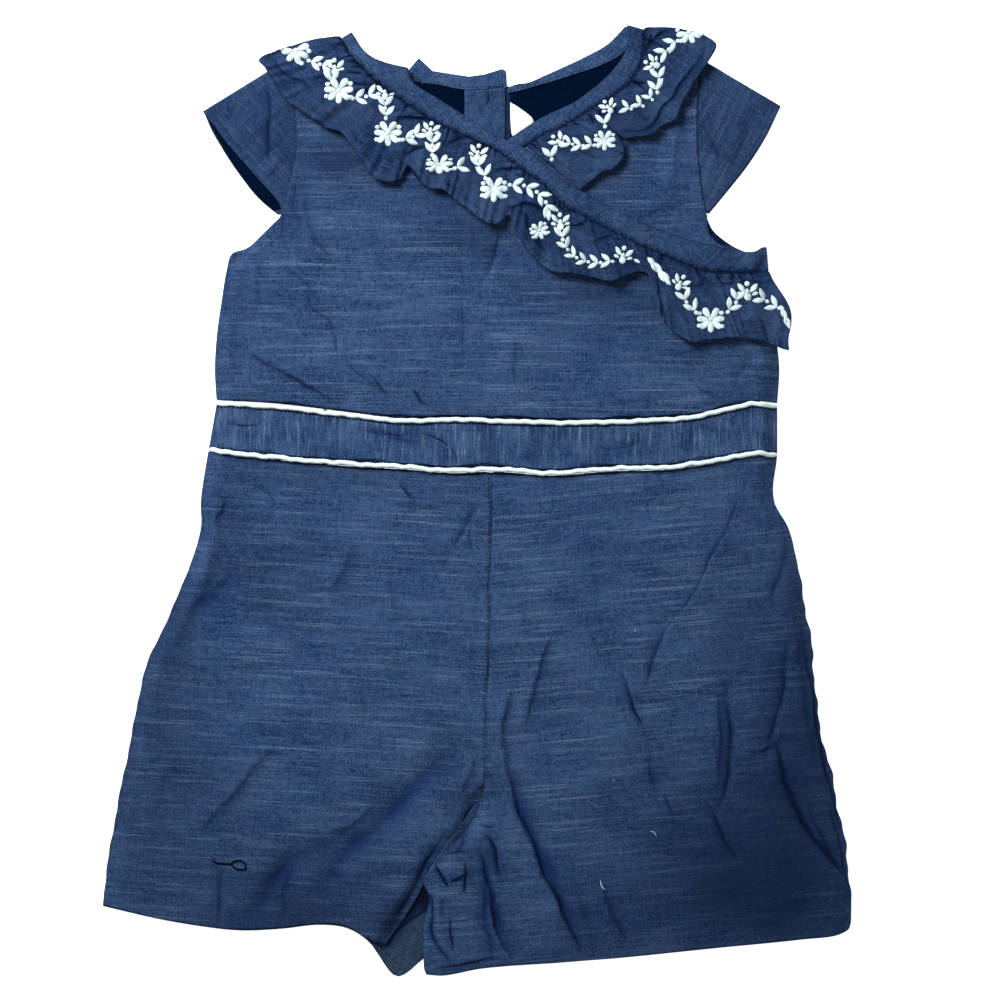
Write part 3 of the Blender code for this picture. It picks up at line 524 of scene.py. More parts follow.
def panelPlace(outline, top, grain=0, shadeAt=None, stretch=1):
    def place(u, v):
        flat = outline(u, v)
        x, y = flat[:, 0], flat[:, 1]
        shade, folds = shadeAt(x, y) if shadeAt else (np.zeros_like(x), None)
        return np.column_stack([x, y, top(x, y)]), turned(flat, grain) * (stretch, 1), shade, folds
    return place


def cutMesh(name, outline, step, heightAt, grain=0, shadeAt=None):
    # a flat outline cut into small squares, then set to its heights
    drawn = bmesh.new()
    face = drawn.faces.new([drawn.verts.new((x, y, 0)) for x, y in outline])
    face.normal_update()
    area = sum(a[0] * b[1] - b[0] * a[1] for a, b in zip(outline, outline[1:] + outline[:1]))
    if face.normal.z < 0 or area < 0:
        bmesh.ops.reverse_faces(drawn, faces=[face])
    face.normal_update()
    bmesh.ops.triangulate(drawn, faces=drawn.faces[:], ngon_method="EAR_CLIP")
    for axis in (0, 1):
        values = [point[axis] for point in outline]
        at = math.floor(min(values) / step) * step + step / 2
        while at < max(values):
            spot, normal = [0, 0, 0], [0, 0, 0]
            spot[axis], normal[axis] = at, 1
            everything = drawn.verts[:] + drawn.edges[:] + drawn.faces[:]
            bmesh.ops.bisect_plane(drawn, geom=everything, dist=0.001, plane_co=spot, plane_no=normal)
            at += step
    bmesh.ops.remove_doubles(drawn, verts=drawn.verts[:], dist=0.02)
    mesh = meshFrom(drawn, name)
    flat = pointsOf(mesh)
    x, y = flat[:, 0], flat[:, 1]
    shade, folds = shadeAt(x, y) if shadeAt else (None, None)
    setMesh(mesh, np.column_stack([x, y, heightAt(x, y)]), turned(flat[:, :2], grain), shade, folds)
    return mesh


def surfaceOf(name):
    seen = bpy.data.objects[name].evaluated_get(bpy.context.evaluated_depsgraph_get())
    mesh = seen.to_mesh()
    corners = [tuple(face.vertices) for face in mesh.polygons]
    tree = BVHTree.FromPolygons([Vector(p) for p in pointsOf(mesh)], corners)
    seen.to_mesh_clear()
    return tree


def topOn(trees, x, y):
    # height in millimetres of the uppermost of these surfaces under (x, y)
    best = None
    for tree in trees:
        hit = tree.ray_cast(Vector((x * mm, y * mm, 0.1)), Vector((0, 0, -1)))[0]
        if hit is not None and (best is None or hit.z / mm > best):
            best = hit.z / mm
    return best


# noise in the weave: scale along and across the slubs, detail, shift, the range that is used, what that becomes
weaveNoise = {
    "long": ((17, 2500), 0, (0, 0, 0), (0.58, 0.73), (0, 1)),
    "short": ((60, 2300), 0, (3, 7, 0), (0.60, 0.75), (0, 1)),
    "bands": ((24, 420), 0, (6, 1, 0), (0.52, 0.66), (0, 1)),
    "dashes": ((600, 1500), 0, (2, 6, 0), (0.30, 0.60), (0.25, 1)),
    "faint": ((45, 1500), 0, (9, 2, 0), (0.30, 0.70), (-0.5, 0.5)),
    "warp": ((1400, 120), 1, (5, 5, 0), (0.30, 0.70), (-0.5, 0.5)),
    "grain": ((1000, 1000), 2, (1, 8, 0), (0.25, 0.75), (-0.5, 0.5)),
    "blotch": ((300, 380), 1, (7, 3, 0), (0.25, 0.75), (-0.5, 0.5)),
    "cloudy": ((30, 45), 3, (4, 4, 0), (0.3, 0.7), (-0.5, 0.5)),
    "tint": ((60, 90), 2, (8, 9, 0), (0.2, 0.8), (0, 1)),
}


def maths(tree, kind, a, b, clamped=False):
    return addNode(tree, "Math", {0: a, 1: b}, operation=kind, use_clamp=clamped).outputs["Value"]


def makeSlubGroup():
    # weft slubs along the first cloth axis, thinner warp threads across them, and the grain of the weave
    group = bpy.data.node_groups.new("slubWeave", "ShaderNodeTree")
    group.interface.new_socket("Cloth", in_out="INPUT", socket_type="NodeSocketVector")
    for name, value in (("Slubs", 1), ("Warp", 0.5), ("Mottle", 0.5)):
        group.interface.new_socket(name, in_out="INPUT", socket_type="NodeSocketFloat").default_value = value
    for name in ("Tone", "Slub", "Tint", "Height"):
        group.interface.new_socket(name, in_out="OUTPUT", socket_type="NodeSocketFloat")
    source, noise = group.nodes.new("NodeGroupInput"), {}
    cloth = source.outputs["Cloth"]
    for name, (scale, detail, shift, used, becomes) in weaveNoise.items():
        place = addNode(group, "Mapping", {"Vector": cloth, "Scale": (*scale, 1), "Location": shift})
        texture = addNode(group, "TexNoise", {"Vector": place.outputs["Vector"], "Scale": 1, "Detail": detail,
                                              "Roughness": 0.6}, noise_dimensions="2D")
        ranged = addNode(group, "MapRange", {"Value": texture.outputs["Fac"], "From Min": used[0],
                                             "From Max": used[1], "To Min": becomes[0], "To Max": becomes[1]})
        noise[name] = ranged.outputs["Result"]

    def times(a, b):
        return maths(group, "MULTIPLY", a, b)

    def plus(a, b):
        return maths(group, "ADD", a, b)

    threads = maths(group, "MAXIMUM", noise["long"], times(noise["short"], 0.8))
    threads = times(times(threads, noise["bands"]), noise["dashes"])
    tone = plus(plus(0.5, times(noise["grain"], 0.8)), times(noise["blotch"], 0.30))
    for name, weight, amount in (("faint", 0.28, "Slubs"), ("warp", 0.5, "Warp"), ("cloudy", 0.7, "Mottle")):
        tone = plus(tone, times(times(noise[name], weight), source.outputs[amount]))
    setInputs(group, group.nodes.new("NodeGroupOutput"), {
        "Tone": tone, "Slub": times(threads, source.outputs["Slubs"]), "Tint": noise["tint"],
        "Height": plus(noise["grain"], times(threads, 0.7))})
    return group


def makeCreaseGroup():
    # thin painted shade lines along the creases, from the distances to the folds and their depths
    group = bpy.data.node_groups.new("creaseShadeLines", "ShaderNodeTree")
    group.interface.new_socket("Mask", in_out="OUTPUT", socket_type="NodeSocketFloat")

    def vectors(kind, a, b):
        node = addNode(group, "VectorMath", {0: a, 1: b}, operation=kind)
        return node.outputs["Value" if kind == "DOT_PRODUCT" else "Vector"]

    def stored(name):
        return addNode(group, "Attribute", attribute_name=name).outputs["Vector"]

    masks = []
    for side in "AB":
        off = vectors("MULTIPLY", stored("folds" + side), (1.02, 1.02, 1.02))
        near = vectors("DIVIDE", (1, 1, 1), vectors("ADD", vectors("MULTIPLY", off, off), (1, 1, 1)))
        near = vectors("MULTIPLY", vectors("MULTIPLY", near, near), near)
        masks.append(vectors("DOT_PRODUCT", near, stored("lineShades" + side)))
    setInputs(group, group.nodes.new("NodeGroupOutput"), {"Mask": maths(group, "ADD", *masks)})
    return group


slubWeave = makeSlubGroup()
creaseShadeLines = makeCreaseGroup()

foldShadeBlue = (0.0020, 0.0150, 0.078)  # painted shade in soft folds
shadeNavy = (0.0010, 0.0075, 0.034)  # painted shade, where the cloth is darkest
shadowBlack = (0.0003, 0.0016, 0.006)  # painted deep shadow in slits and deep gathers


def mixed(tree, amount, first, second):
    return addNode(tree, "Mix", {0: amount, 6: first, 7: second}, data_type="RGBA").outputs[2]


def chambrayFinish(name, dark, light, warm, slub, slubs=1.0, warp=0.5, mottle=0.5, slubShare=0.5, nap=1.0):
    made, tree, shader = newMaterial(name, {
        "Roughness": 0.82, "Specular IOR Level": 0.08 * nap, "Sheen Weight": 0.02 * nap,
        "Sheen Roughness": 0.4, "Sheen Tint": (0.55, 0.68, 1)})
    cloth = addNode(tree, "UVMap", uv_map="cloth")
    weave = addNode(tree, "Group", {"Cloth": cloth.outputs["UV"], "Slubs": slubs, "Warp": warp, "Mottle": mottle},
                    node_tree=slubWeave)
    lines = addNode(tree, "Group", node_tree=creaseShadeLines).outputs["Mask"]
    soft = addNode(tree, "Attribute", attribute_name="foldShade").outputs["Fac"]
    deep = addNode(tree, "Attribute", attribute_name="shade").outputs["Fac"]
    # the shade attributes and the crease lines paint shade over the weave: soft painted shade in the folds,
    # painted shade, and painted deep shadow where the shade passes one
    deeper = maths(tree, "ADD", deep, lines)
    colour = mixed(tree, weave.outputs["Tone"], dark, mixed(tree, weave.outputs["Tint"], light, warm))
    colour = mixed(tree, maths(tree, "MULTIPLY", weave.outputs["Slub"], slubShare), colour, slub)
    colour = mixed(tree, deeper, mixed(tree, soft, colour, foldShadeBlue), shadeNavy)
    colour = mixed(tree, maths(tree, "SUBTRACT", deeper, 1, clamped=True), colour, shadowBlack)
    dip = addNode(tree, "Bump", {"Strength": 0.7, "Distance": 0.0005, "Height": lines}, invert=True)
    bump = addNode(tree, "Bump", {"Strength": 0.35, "Distance": 0.0001, "Height": weave.outputs["Height"],
                                  "Normal": dip.outputs["Normal"]})
    setInputs(tree, shader, {"Base Color": colour, "Normal": bump.outputs["Normal"]})
    return made


def plainThread(name, colour, roughness, sheen=0.1):
    made, tree, shader = newMaterial(name, {"Roughness": roughness, "Specular IOR Level": 0.08,
                                            "Sheen Weight": sheen})
    place = addNode(tree, "TexCoord").outputs["Object"]
    speckle = addNode(tree, "TexNoise", {"Vector": place, "Scale": 900, "Detail": 2}).outputs["Fac"]
    darker, paler = [tuple(min(1, c * change) for c in colour) for change in (0.78, 1.12)]
    bump = addNode(tree, "Bump", {"Strength": 0.5, "Distance": 0.0001, "Height": speckle})
    setInputs(tree, shader, {"Base Color": mixed(tree, speckle, darker, paler), "Normal": bump.outputs["Normal"]})
    return made


navy = {
    "dark": (0.004, 0.020, 0.070), "light": (0.041, 0.090, 0.186), "warm": (0.049, 0.083, 0.178),
    "slub": (0.150, 0.220, 0.340),
}
finishes = {
    "body": chambrayFinish("chambrayBody", **navy),
    "waistband": chambrayFinish("chambrayWaistband", **navy, slubs=1.3, slubShare=0.55, mottle=0.8),
    "ruffle": chambrayFinish("chambrayRuffle", **navy, slubs=0.25, warp=0.7, mottle=0.8),
    "sleeve": chambrayFinish("chambraySleeve", **navy, slubs=0.8),
    "band": chambrayFinish("chambrayBand", **navy, slubs=0.3, warp=0.8),
    "lining": chambrayFinish("lining", (0.0002, 0.0028, 0.011), (0.0004, 0.0052, 0.021), (0.0005, 0.005, 0.019),
                             (0.006, 0.018, 0.045), slubs=0.2, nap=0.15),
    "legBack": chambrayFinish("chambrayLegBack", (0.006, 0.020, 0.044), (0.040, 0.075, 0.115),
                              (0.046, 0.072, 0.110), (0.10, 0.15, 0.20), slubs=0.7, mottle=0.3),
    "stitch": plainThread("stitchDark", (0.0004, 0.0025, 0.010), 0.9, sheen=0),
    "lint": plainThread("lint", (0.42, 0.50, 0.66), 0.6),
    "piping": plainThread("pipingCord", (0.73, 0.89, 0.89), 0.6),
    "label": plainThread("labelWoven", (0.80, 0.88, 0.90), 0.75),
    "embroidery": plainThread("satinStitch", (0.60, 0.74, 0.76), 0.5, sheen=0.05),
}
print("finishes ready")

bodice = {
    "overCells": (215, 110), "underCells": (150, 90), "openingX": 15.8,
    "fine": 0.10, "broad": 0.30, "underFine": 0.12, "waistDip": 0.9,
    # path, height, left width, right width, painted shade line, soft painted shade
    "creases": [
        ([(-7, 106), (-6.4, 84), (-7, 62)], -0.8, 2, 4, 0.35, 0.10),
        ([(12.5, 134), (8, 120), (1.5, 108)], -0.9, 2, 6, 0.55, 0.15),
        ([(17.5, 81), (17.8, 70), (17.5, 59)], 0.7, 2, 5, 0.35, 0.05),
        ([(-113, 76), (-100.5, 67.8), (-82, 57.3), (-66.5, 47.3)], 1.3, 7, 1.5, 0.75, 0.15),
        ([(-85.5, 105.3), (-81.5, 94.3), (-73, 90.8), (-70.5, 81.3)], -0.8, 3, 2, 0.55, 0.15),
        ([(-100, 117), (-90, 110), (-84, 104), (-79, 97)], 0.8, 3, 5, 0.35, 0.25),
        ([(-69, 75), (-61, 64), (-54, 58), (-45, 52)], 0.7, 2, 4, 0.4, 0.25),
        ([(-90, 158), (-91, 148), (-88, 138)], -0.6, 2, 4, 0.3, 0.3),
        ([(-70.5, 83), (-69, 74)], -0.7, 2, 3, 0.55, 0.15), ([(-52.5, 64.5), (-43, 53)], 0.9, 4, 1.5, 0.6, 0.1),
        ([(-30.5, 57.8), (-25, 48.8)], 0.9, 4, 2, 0.8, 0.2),
        ([(-87.5, 154.8), (-86.5, 138.3), (-73, 119.8)], 1.1, 3, 7, 0.25, 0.25),
        ([(-86.5, 133.5), (-80, 127), (-75.5, 121)], 0.7, 2, 5, 0.3, 0.15),
        ([(-97, 152), (-96, 128)], -0.6, 4, 6, 0.2, 0.25),
        ([(70, 74), (85, 68), (98, 58)], 0.8, 5, 9, 0.1, 0.12), ([(-60, 150), (-48, 112)], 0.6, 6, 9, 0, 0.12),
        ([(40, 110), (30, 70)], 0.5, 8, 10, 0, 0.1), ([(112, 100), (100, 62)], 0.6, 6, 9, 0, 0.15),
        ([(-124, 92), (-116, 66)], -0.6, 3, 6, 0.1, 0.18), ([(62, 96), (74, 70)], -0.5, 4, 9, 0, 0.15),
        ([(-20, 90), (-30, 60)], 0.5, 5, 9, 0, 0.1), ([(-110, 120), (-112, 92)], 0.5, 3, 7, 0.1, 0.15),
        ([(136, 74), (128, 58)], -0.7, 4, 3, 0.2, 0.25), ([(90, 100), (96, 78)], -0.5, 6, 6, 0.1, 0.15),
        ([(-118, 60), (-104, 52)], 0.6, 3, 5, 0.2, 0.1), ([(104, 88), (112, 70)], 0.4, 5, 7, 0.15, 0.12),
        ([(60, 60), (76, 48)], 0.5, 5, 3, 0.2, 0.08), ([(134, 104), (140, 84)], 0.5, 3, 5, 0.15, 0.15),
        ([(-38, 128), (-30, 112)], -0.4, 3, 5, 0.15, 0.1),
        ([(-7.5, 134), (-8, 118), (-7, 106)], -0.5, 2, 3, 0.15, 0.2),
        ([(-3, 60), (-8, 52), (-6, 45)], 0.5, 3, 2, 0.3, 0.15),
        ([(-128, 79), (-122, 72), (-118, 62)], -0.5, 2, 4, 0.2, 0.2),
        ([(-100, 128), (-92, 112), (-90, 98)], -0.4, 4, 6, 0, 0.15),
        ([(-113, 118), (-104, 108)], 0.4, 3, 4, 0.2, 0.1),
        ([(28, 96), (34, 84), (33, 72)], -0.4, 3, 6, 0, 0.15),
        ([(104, 62), (114, 54), (126, 52)], -0.5, 3, 2, 0.3, 0.2),
        ([(140, 66), (144, 56)], -0.5, 2, 3, 0.2, 0.2),
    ],
    # patches of painted shade, and of painted light where the depth is below zero: x, y, half width, half height,
    # depth
    "shadePatches": [
        (-126, 80, 14, 60, 0.24), (-104, 138, 16, 12, 0.2), (-60, 172, 24, 12, 0.35), (-28, 160, 24, 14, 0.3),
        (5, 134, 26, 12, 0.3), (60, 104, 32, 9, 0.35), (120, 74, 30, 8, 0.2), (-88, 190, 6, 30, 0.2),
        (85, 128, 12, 20, 0.3), (135, 92, 14, 24, -0.06), (-82, 160, 24, 20, 0.2), (-126, 113, 14, 16, 0.16),
        (-101, 88, 22, 18, 0.1), (0, 134, 26, 12, 0.12), (74, 92, 20, 14, 0.12), (146, 62, 10, 20, -0.3),
        (-68, 142, 26, 16, 0.1), (-20, 140, 20, 12, 0.08), (-76, 176, 16, 12, 0.15), (-126, 110, 14, 14, 0.08),
        (24, 112, 16, 10, 0.12), (60, 104, 24, 8, 0.1), (26, 66, 14, 16, 0.07), (-76, 62, 16, 12, -0.08),
        (50, 62, 14, 14, -0.07), (-90, 150, 5, 18, 0.15), (-72, 166, 16, 8, 0.12),
    ],
    "underCreases": [
        ([(100, 205), (99, 178), (96, 150)], 0.8, 3, 6, 0.1, 0.15),
        ([(84, 200), (70, 160)], -0.6, 3, 6, 0.15, 0.15), ([(106, 170), (88, 140)], 0.7, 4, 3, 0.25, 0.12),
        ([(60, 190), (52, 170)], 0.5, 3, 4, 0.15, 0.15), ([(100, 150), (78, 142)], 0.6, 3, 5, 0.2, 0.2),
    ],
    # patches of painted shade: x, y, half width, half height, depth
    "underShadePatches": [
        (105, 142, 30, 9, 0.12), (60, 160, 18, 10, 0.3), (106, 190, 4, 30, 0.1), (76, 166, 16, 12, 0.14),
    ],
    # painted shadow in the back opening's slit and under the arm
    "slitShadow": (15.2, 196, 2.2, 30, 0.95), "underarmShadow": (122, 132, 12, 7, 1.2),
}


def underTop(x, y):
    sides = smoothStep(sideRoom(x, y) / layers["sideRamp"])
    shoulders = smoothStep(shoulderRoom(x, y) / layers["shoulderRamp"])
    rise = (layers["crown"] - layers["seamTop"]) * sides * shoulders
    return layers["seamTop"] + rise + layers["puff"] * bodyPuff(x, y) * smoothStep((210 - y) / 60)


def overTop(x, y):
    room = np.minimum(sideRoom(x, y) / layers["sideRamp"], shoulderRoom(x, y) / layers["shoulderRamp"])
    armhole = np.where(y > layers["underarmY"], (x + 91) / layers["shoulderRamp"], 9)
    room = np.minimum(room, armhole)
    crossX, crossY = layers["crossing"]
    away = ((x - crossX) ** 2 + (y - crossY) ** 2) / layers["crossingRadius"] ** 2
    toWaist = y - upperPipingAt(x)
    lift = layers["overlap"] - bodice["waistDip"] * np.exp(-(toWaist / 6) ** 2)
    lift = lift + layers["crossingRise"] * np.exp(-away)
    edge = smoothStep(sideRoom(x, y) / 8) * smoothStep(toWaist / 9)
    fine = rippleField(x, y, 3, 9, 2.2, 80) * bodice["fine"] + rippleField(x, y, 5, 26, 1.6, 70) * bodice["broad"]
    return underTop(x, y) + lift * smoothStep(room) + (creaseFields(x, y, bodice["creases"])[0] + fine) * edge


def underFrontTop(x, y):
    edge = smoothStep(sideRoom(x, y) / 8)
    fine = rippleField(x, y, 7, 8, 2.0, 80) * bodice["underFine"]
    return underTop(x, y) + (creaseFields(x, y, bodice["underCreases"])[0] + fine) * edge


def backTop(x, y):
    return layers["wall"] + 0.02 * rippleField(x, y, 11, 20, 1.5, 75)


def tracedRow(row, step=3):
    placeAt, length = lineThrough(row)
    return [tuple(p) for p in placeAt(np.linspace(0, 1, max(2, int(length / step) + 1)))]


def addCutPiece(name, node, sides, finish="body", step=7, top=backTop, wall=layers["wall"], grain=0,
                shadeAt=None):
    # a piece cut to the rows of points round it
    outline = []
    for point in [(float(x), float(y)) for side in sides for x, y in side]:
        if not outline or math.dist(point, outline[-1]) > 0.15:
            outline.append(point)
    if math.dist(outline[0], outline[-1]) < 0.15:
        outline.pop()
    item = addPiece(name, cutMesh(name, outline, step, top, grain, shadeAt), finish, node)
    addWall(item, wall)
    return item


def seamShadowLine(row, shift, dark):
    # a painted shadow line along a seam
    return movedRow(row, 0, shift), 0, 2.6, 2.6, dark, 0


def makeBodice():
    # a painted shadow line above the upper piping
    bodice["creases"].append(seamShadowLine(seams["upperPiping"], 1.65, 1.5))
    neck = curveOf(movedRow(seams["overSeam"], -0.25, -0.45))
    armToSide = [seams["leftArmhole"][0], tuple(neck(0.0))]
    low = acrossOf(seams["upperPiping"], seams["leftSide"][-1][0], seams["rightSide"][-1][0], 1.1)
    outline = patchOf(neck, low,
                      curveOf(reversedRow(seams["leftSide"]), reversedRow(seams["leftArmhole"]), armToSide),
                      curveOf(reversedRow(seams["rightSide"][2:]) + [tuple(neck(1.0))]))
    over = addShell("bodiceFrontOver", "bodice_front_over", bodice["overCells"],
                    panelPlace(outline, overTop, 0, paintedShadeOn(bodice["creases"], bodice["shadePatches"])))

    hiddenLeft = movedRow(reversedRow(seams["leftSide"][5:]), 9, 0)
    neck = curveOf(reversedRow(movedRow(seams["underSeam"] + seams["underSeamHidden"][1:], 0.45, -0.5)))
    hiddenLeft.append(tuple(neck(0.0)))
    hiddenRight = movedRow(reversedRow(seams["rightSide"][1:]), -9, -2)
    low = acrossOf(seams["upperPiping"], hiddenLeft[0][0], hiddenRight[0][0], 1.2)
    outline = patchOf(neck, low, curveOf(hiddenLeft),
                      curveOf(hiddenRight, [hiddenRight[-1], seams["rightSide"][0]],
                              reversedRow(seams["underarmFront"]), reversedRow(seams["rightArmhole"]),
                              [seams["rightArmhole"][0], tuple(neck(1.0))]))
    under = addShell("bodiceFrontUnder", "bodice_front_under", bodice["underCells"],
                     panelPlace(outline, underFrontTop, 0, paintedShadeOn(bodice["underCreases"], bodice["underShadePatches"])))

    openingX, slit = bodice["openingX"], bodice["slitShadow"]
    waist = tracedRow(movedRow(seams["upperPiping"], 0, 1.7))
    leftWaist = [p for p in waist if seams["leftSide"][-1][0] < p[0] < openingX - 2]
    rightWaist = [p for p in waist if openingX + 2 < p[0] < seams["rightSide"][-1][0]]
    waistY = leftWaist[-1][1]
    sides = [leftWaist, [(openingX, waistY), (openingX, 207.6)],
             reversedRow(tracedRow(movedRow(seams["backSeamLeft"], 0, -0.5)))[1:], seams["leftShoulder"][:1],
             tracedRow(seams["leftArmhole"])[1:], tracedRow(seams["leftSide"])[1:]]
    back = addCutPiece("bodiceBackLeft", "bodice_back_left", sides, shadeAt=paintedShadeOn([], [slit]))
    openingX -= 0.15
    sides = [[(openingX, 204.3), (openingX, waistY)], rightWaist, reversedRow(tracedRow(seams["rightSide"])),
             reversedRow(tracedRow(seams["underarmBack"]))[1:], reversedRow(tracedRow(seams["rightArmhole"]))[1:],
             seams["rightShoulder"][:1], reversedRow(tracedRow(movedRow(seams["backSeamRight"], 0.2, 0.6)))]
    back = addCutPiece("bodiceBackRight", "bodice_back_right", sides,
                       shadeAt=paintedShadeOn([], [slit, bodice["underarmShadow"]]))


makeBodice()
print("bodice made")

# the back's bands, the facing of its opening, the linings and the label
neckInside = {
    "bandTop": 1.9, "bandWall": 1.5, "liningTop": 1.2, "labelTop": 1.9,
    "facing": (-6.2, 14.0),
    "label": [
        (16.6, 199.3), (20, 197.5), (24.4, 194.3), (27.2, 191.9), (29, 189), (24, 184.5), (18.4, 181),
        (17.2, 184), (16.7, 190),
    ],
    "facingCreases": [
        ([(4, 205.5), (5.4, 201.5), (4.2, 197.5)], 0.2, 1, 1, 0.7, 0.1),
        ([(-5, 203), (1, 203.6)], 0.2, 1, 1, 0.3, 0.1),
    ],
    # a patch of painted shade over the facing
    "facingShadePatches": [(4, 195, 20, 30, 0.26)],
}


def levelTop(height, seed=1, swell=0.06, scale=8):
    return lambda x, y: height + swell * rippleField(x, y, seed, scale, 1.5, 20)


def makeNeckInside():
    bandTop, bandWall, liningTop = neckInside["bandTop"], neckInside["bandWall"], neckInside["liningTop"]
    seam, edge = tracedRow(seams["backSeamLeft"]), reversedRow(seams["backNeckLeft"])
    left = addCutPiece("neckBandBackLeft", "neck_band_back_left", [seam, edge], "band", 1.5,
                       levelTop(bandTop, 2, 0.12), bandWall, 35)
    seam, edge = tracedRow(seams["backSeamRight"]), reversedRow(tracedRow(seams["backNeckRight"]))
    right = addCutPiece("neckBandBackRight", "neck_band_back_right", [seam, edge], "band", 1.5,
                        levelTop(bandTop, 4, 0.12), bandWall, -35)
    leftX, rightX = neckInside["facing"]
    seam = tracedRow(movedRow(seams["backSeamLeft"], 0, 0.8))
    edge = [p for p in seam if -36 < p[0] < leftX - 1]
    sides = [[(-36, 205), (leftX + 0.3, 186), (leftX + 0.3, 206.6)], reversedRow(edge)]
    lining = addCutPiece("liningLeft", "lining_left", sides, "lining", 4, levelTop(liningTop))
    edge = [p for p in seam if leftX <= p[0] < rightX]
    sides = [[(leftX, 186), (rightX, 175), (rightX, 207.9)], reversedRow(edge), [(leftX, 206.8)]]
    drawn = paintedShadeOn(neckInside["facingCreases"], neckInside["facingShadePatches"])
    facing = addCutPiece("placketFacing", "placket_facing", sides, "band", 3, levelTop(liningTop + 0.3, 6),
                         grain=5, shadeAt=drawn)
    edge = [p for p in tracedRow(movedRow(seams["backSeamRight"], 0.9, 0.8)) if p[0] < 76]
    sides = [[(16.3, 178), (33, 185), (57, 197), (76, 213)], reversedRow(edge)]
    lining = addCutPiece("liningRight", "lining_right", sides, "lining", 4, levelTop(liningTop))
    label = addCutPiece("neckLabel", "neck_label", [neckInside["label"]], "label", 2,
                        levelTop(neckInside["labelTop"], 9, 0.25, 5), 0.4)


makeNeckInside()
print("neck inside made")

neckBands = {
    "overCells": (300, 16), "underCells": (150, 14), "crown": 0.7, "wall": 0.9, "floor": 3.3,
    "swell": 0.12, "pucker": 0.22, "shade": 0.2, "rimShade": 0.5, "mottle": 0.08, "puckerShade": 0.16,
    "seamShade": 0.5, "gathers": (290, 47),
    # patches of painted shade, and of painted light where the depth is below zero
    "shadePatches": [
        (78, 236, 12, 10, 0.3), (70, 215, 12, 12, 0.12), (116, 122, 14, 8, 0.12), (146, 119, 10, 10, -0.28),
    ],
}


def bandPlace(low, high, top, grain, seed):
    strip = stripOf(low, high)

    def place(u, v):
        flat = strip(u, v)
        x, y = flat[:, 0], flat[:, 1]
        dome = np.sqrt(np.clip(4 * v * (1 - v), 0, 1))
        z = np.maximum(top(x, y), neckBands["floor"]) + neckBands["crown"] * (dome - 0.5)
        z = z + neckBands["swell"] * rippleField(x, y, seed, 5, 1, 30) * dome
        pucker = rippleField(x, y, seed + 1, 0.95, 2.6, grain + 115)
        z = z + neckBands["pucker"] * pucker * dome
        # painted shade at the rims and in the gathers by the seam, and painted light and shade across the puckers
        shade = neckBands["rimShade"] * (1 - dome) ** 1.6 + neckBands["shade"]
        shade = shade + neckBands["mottle"] * rippleField(x, y, seed + 3, 5, 1.5, grain)
        shade = shade - neckBands["puckerShade"] * pucker
        often, seldom = neckBands["gathers"]
        gathers = np.clip(np.sin(u * often + 2 * np.sin(u * seldom)), 0, 1) ** 2
        nearSeam = np.exp(-(v / 0.2) ** 2)
        shade = shade + neckBands["seamShade"] * nearSeam * (0.5 + gathers) + paintedShadeField(x, y, neckBands["shadePatches"])
        return np.column_stack([x, y, z]), turned(flat, grain), shade
    return place


def makeNeckBands():
    place = bandPlace(curveOf(reversedRow(seams["underSeam"])), curveOf(reversedRow(seams["underNeck"])),
                      underTop, 60, 21)
    under = addShell("neckBandUnder", "neck_band_under", neckBands["underCells"], place, "band",
                     neckBands["wall"])
    place = bandPlace(curveOf(seams["overSeam"]), curveOf(seams["overNeck"][:4], seams["overNeck"][3:]),
                      overTop, -55, 22)
    over = addShell("neckBandOver", "neck_band_over", neckBands["overCells"], place, "band", neckBands["wall"])


makeNeckBands()
print("neck bands made")

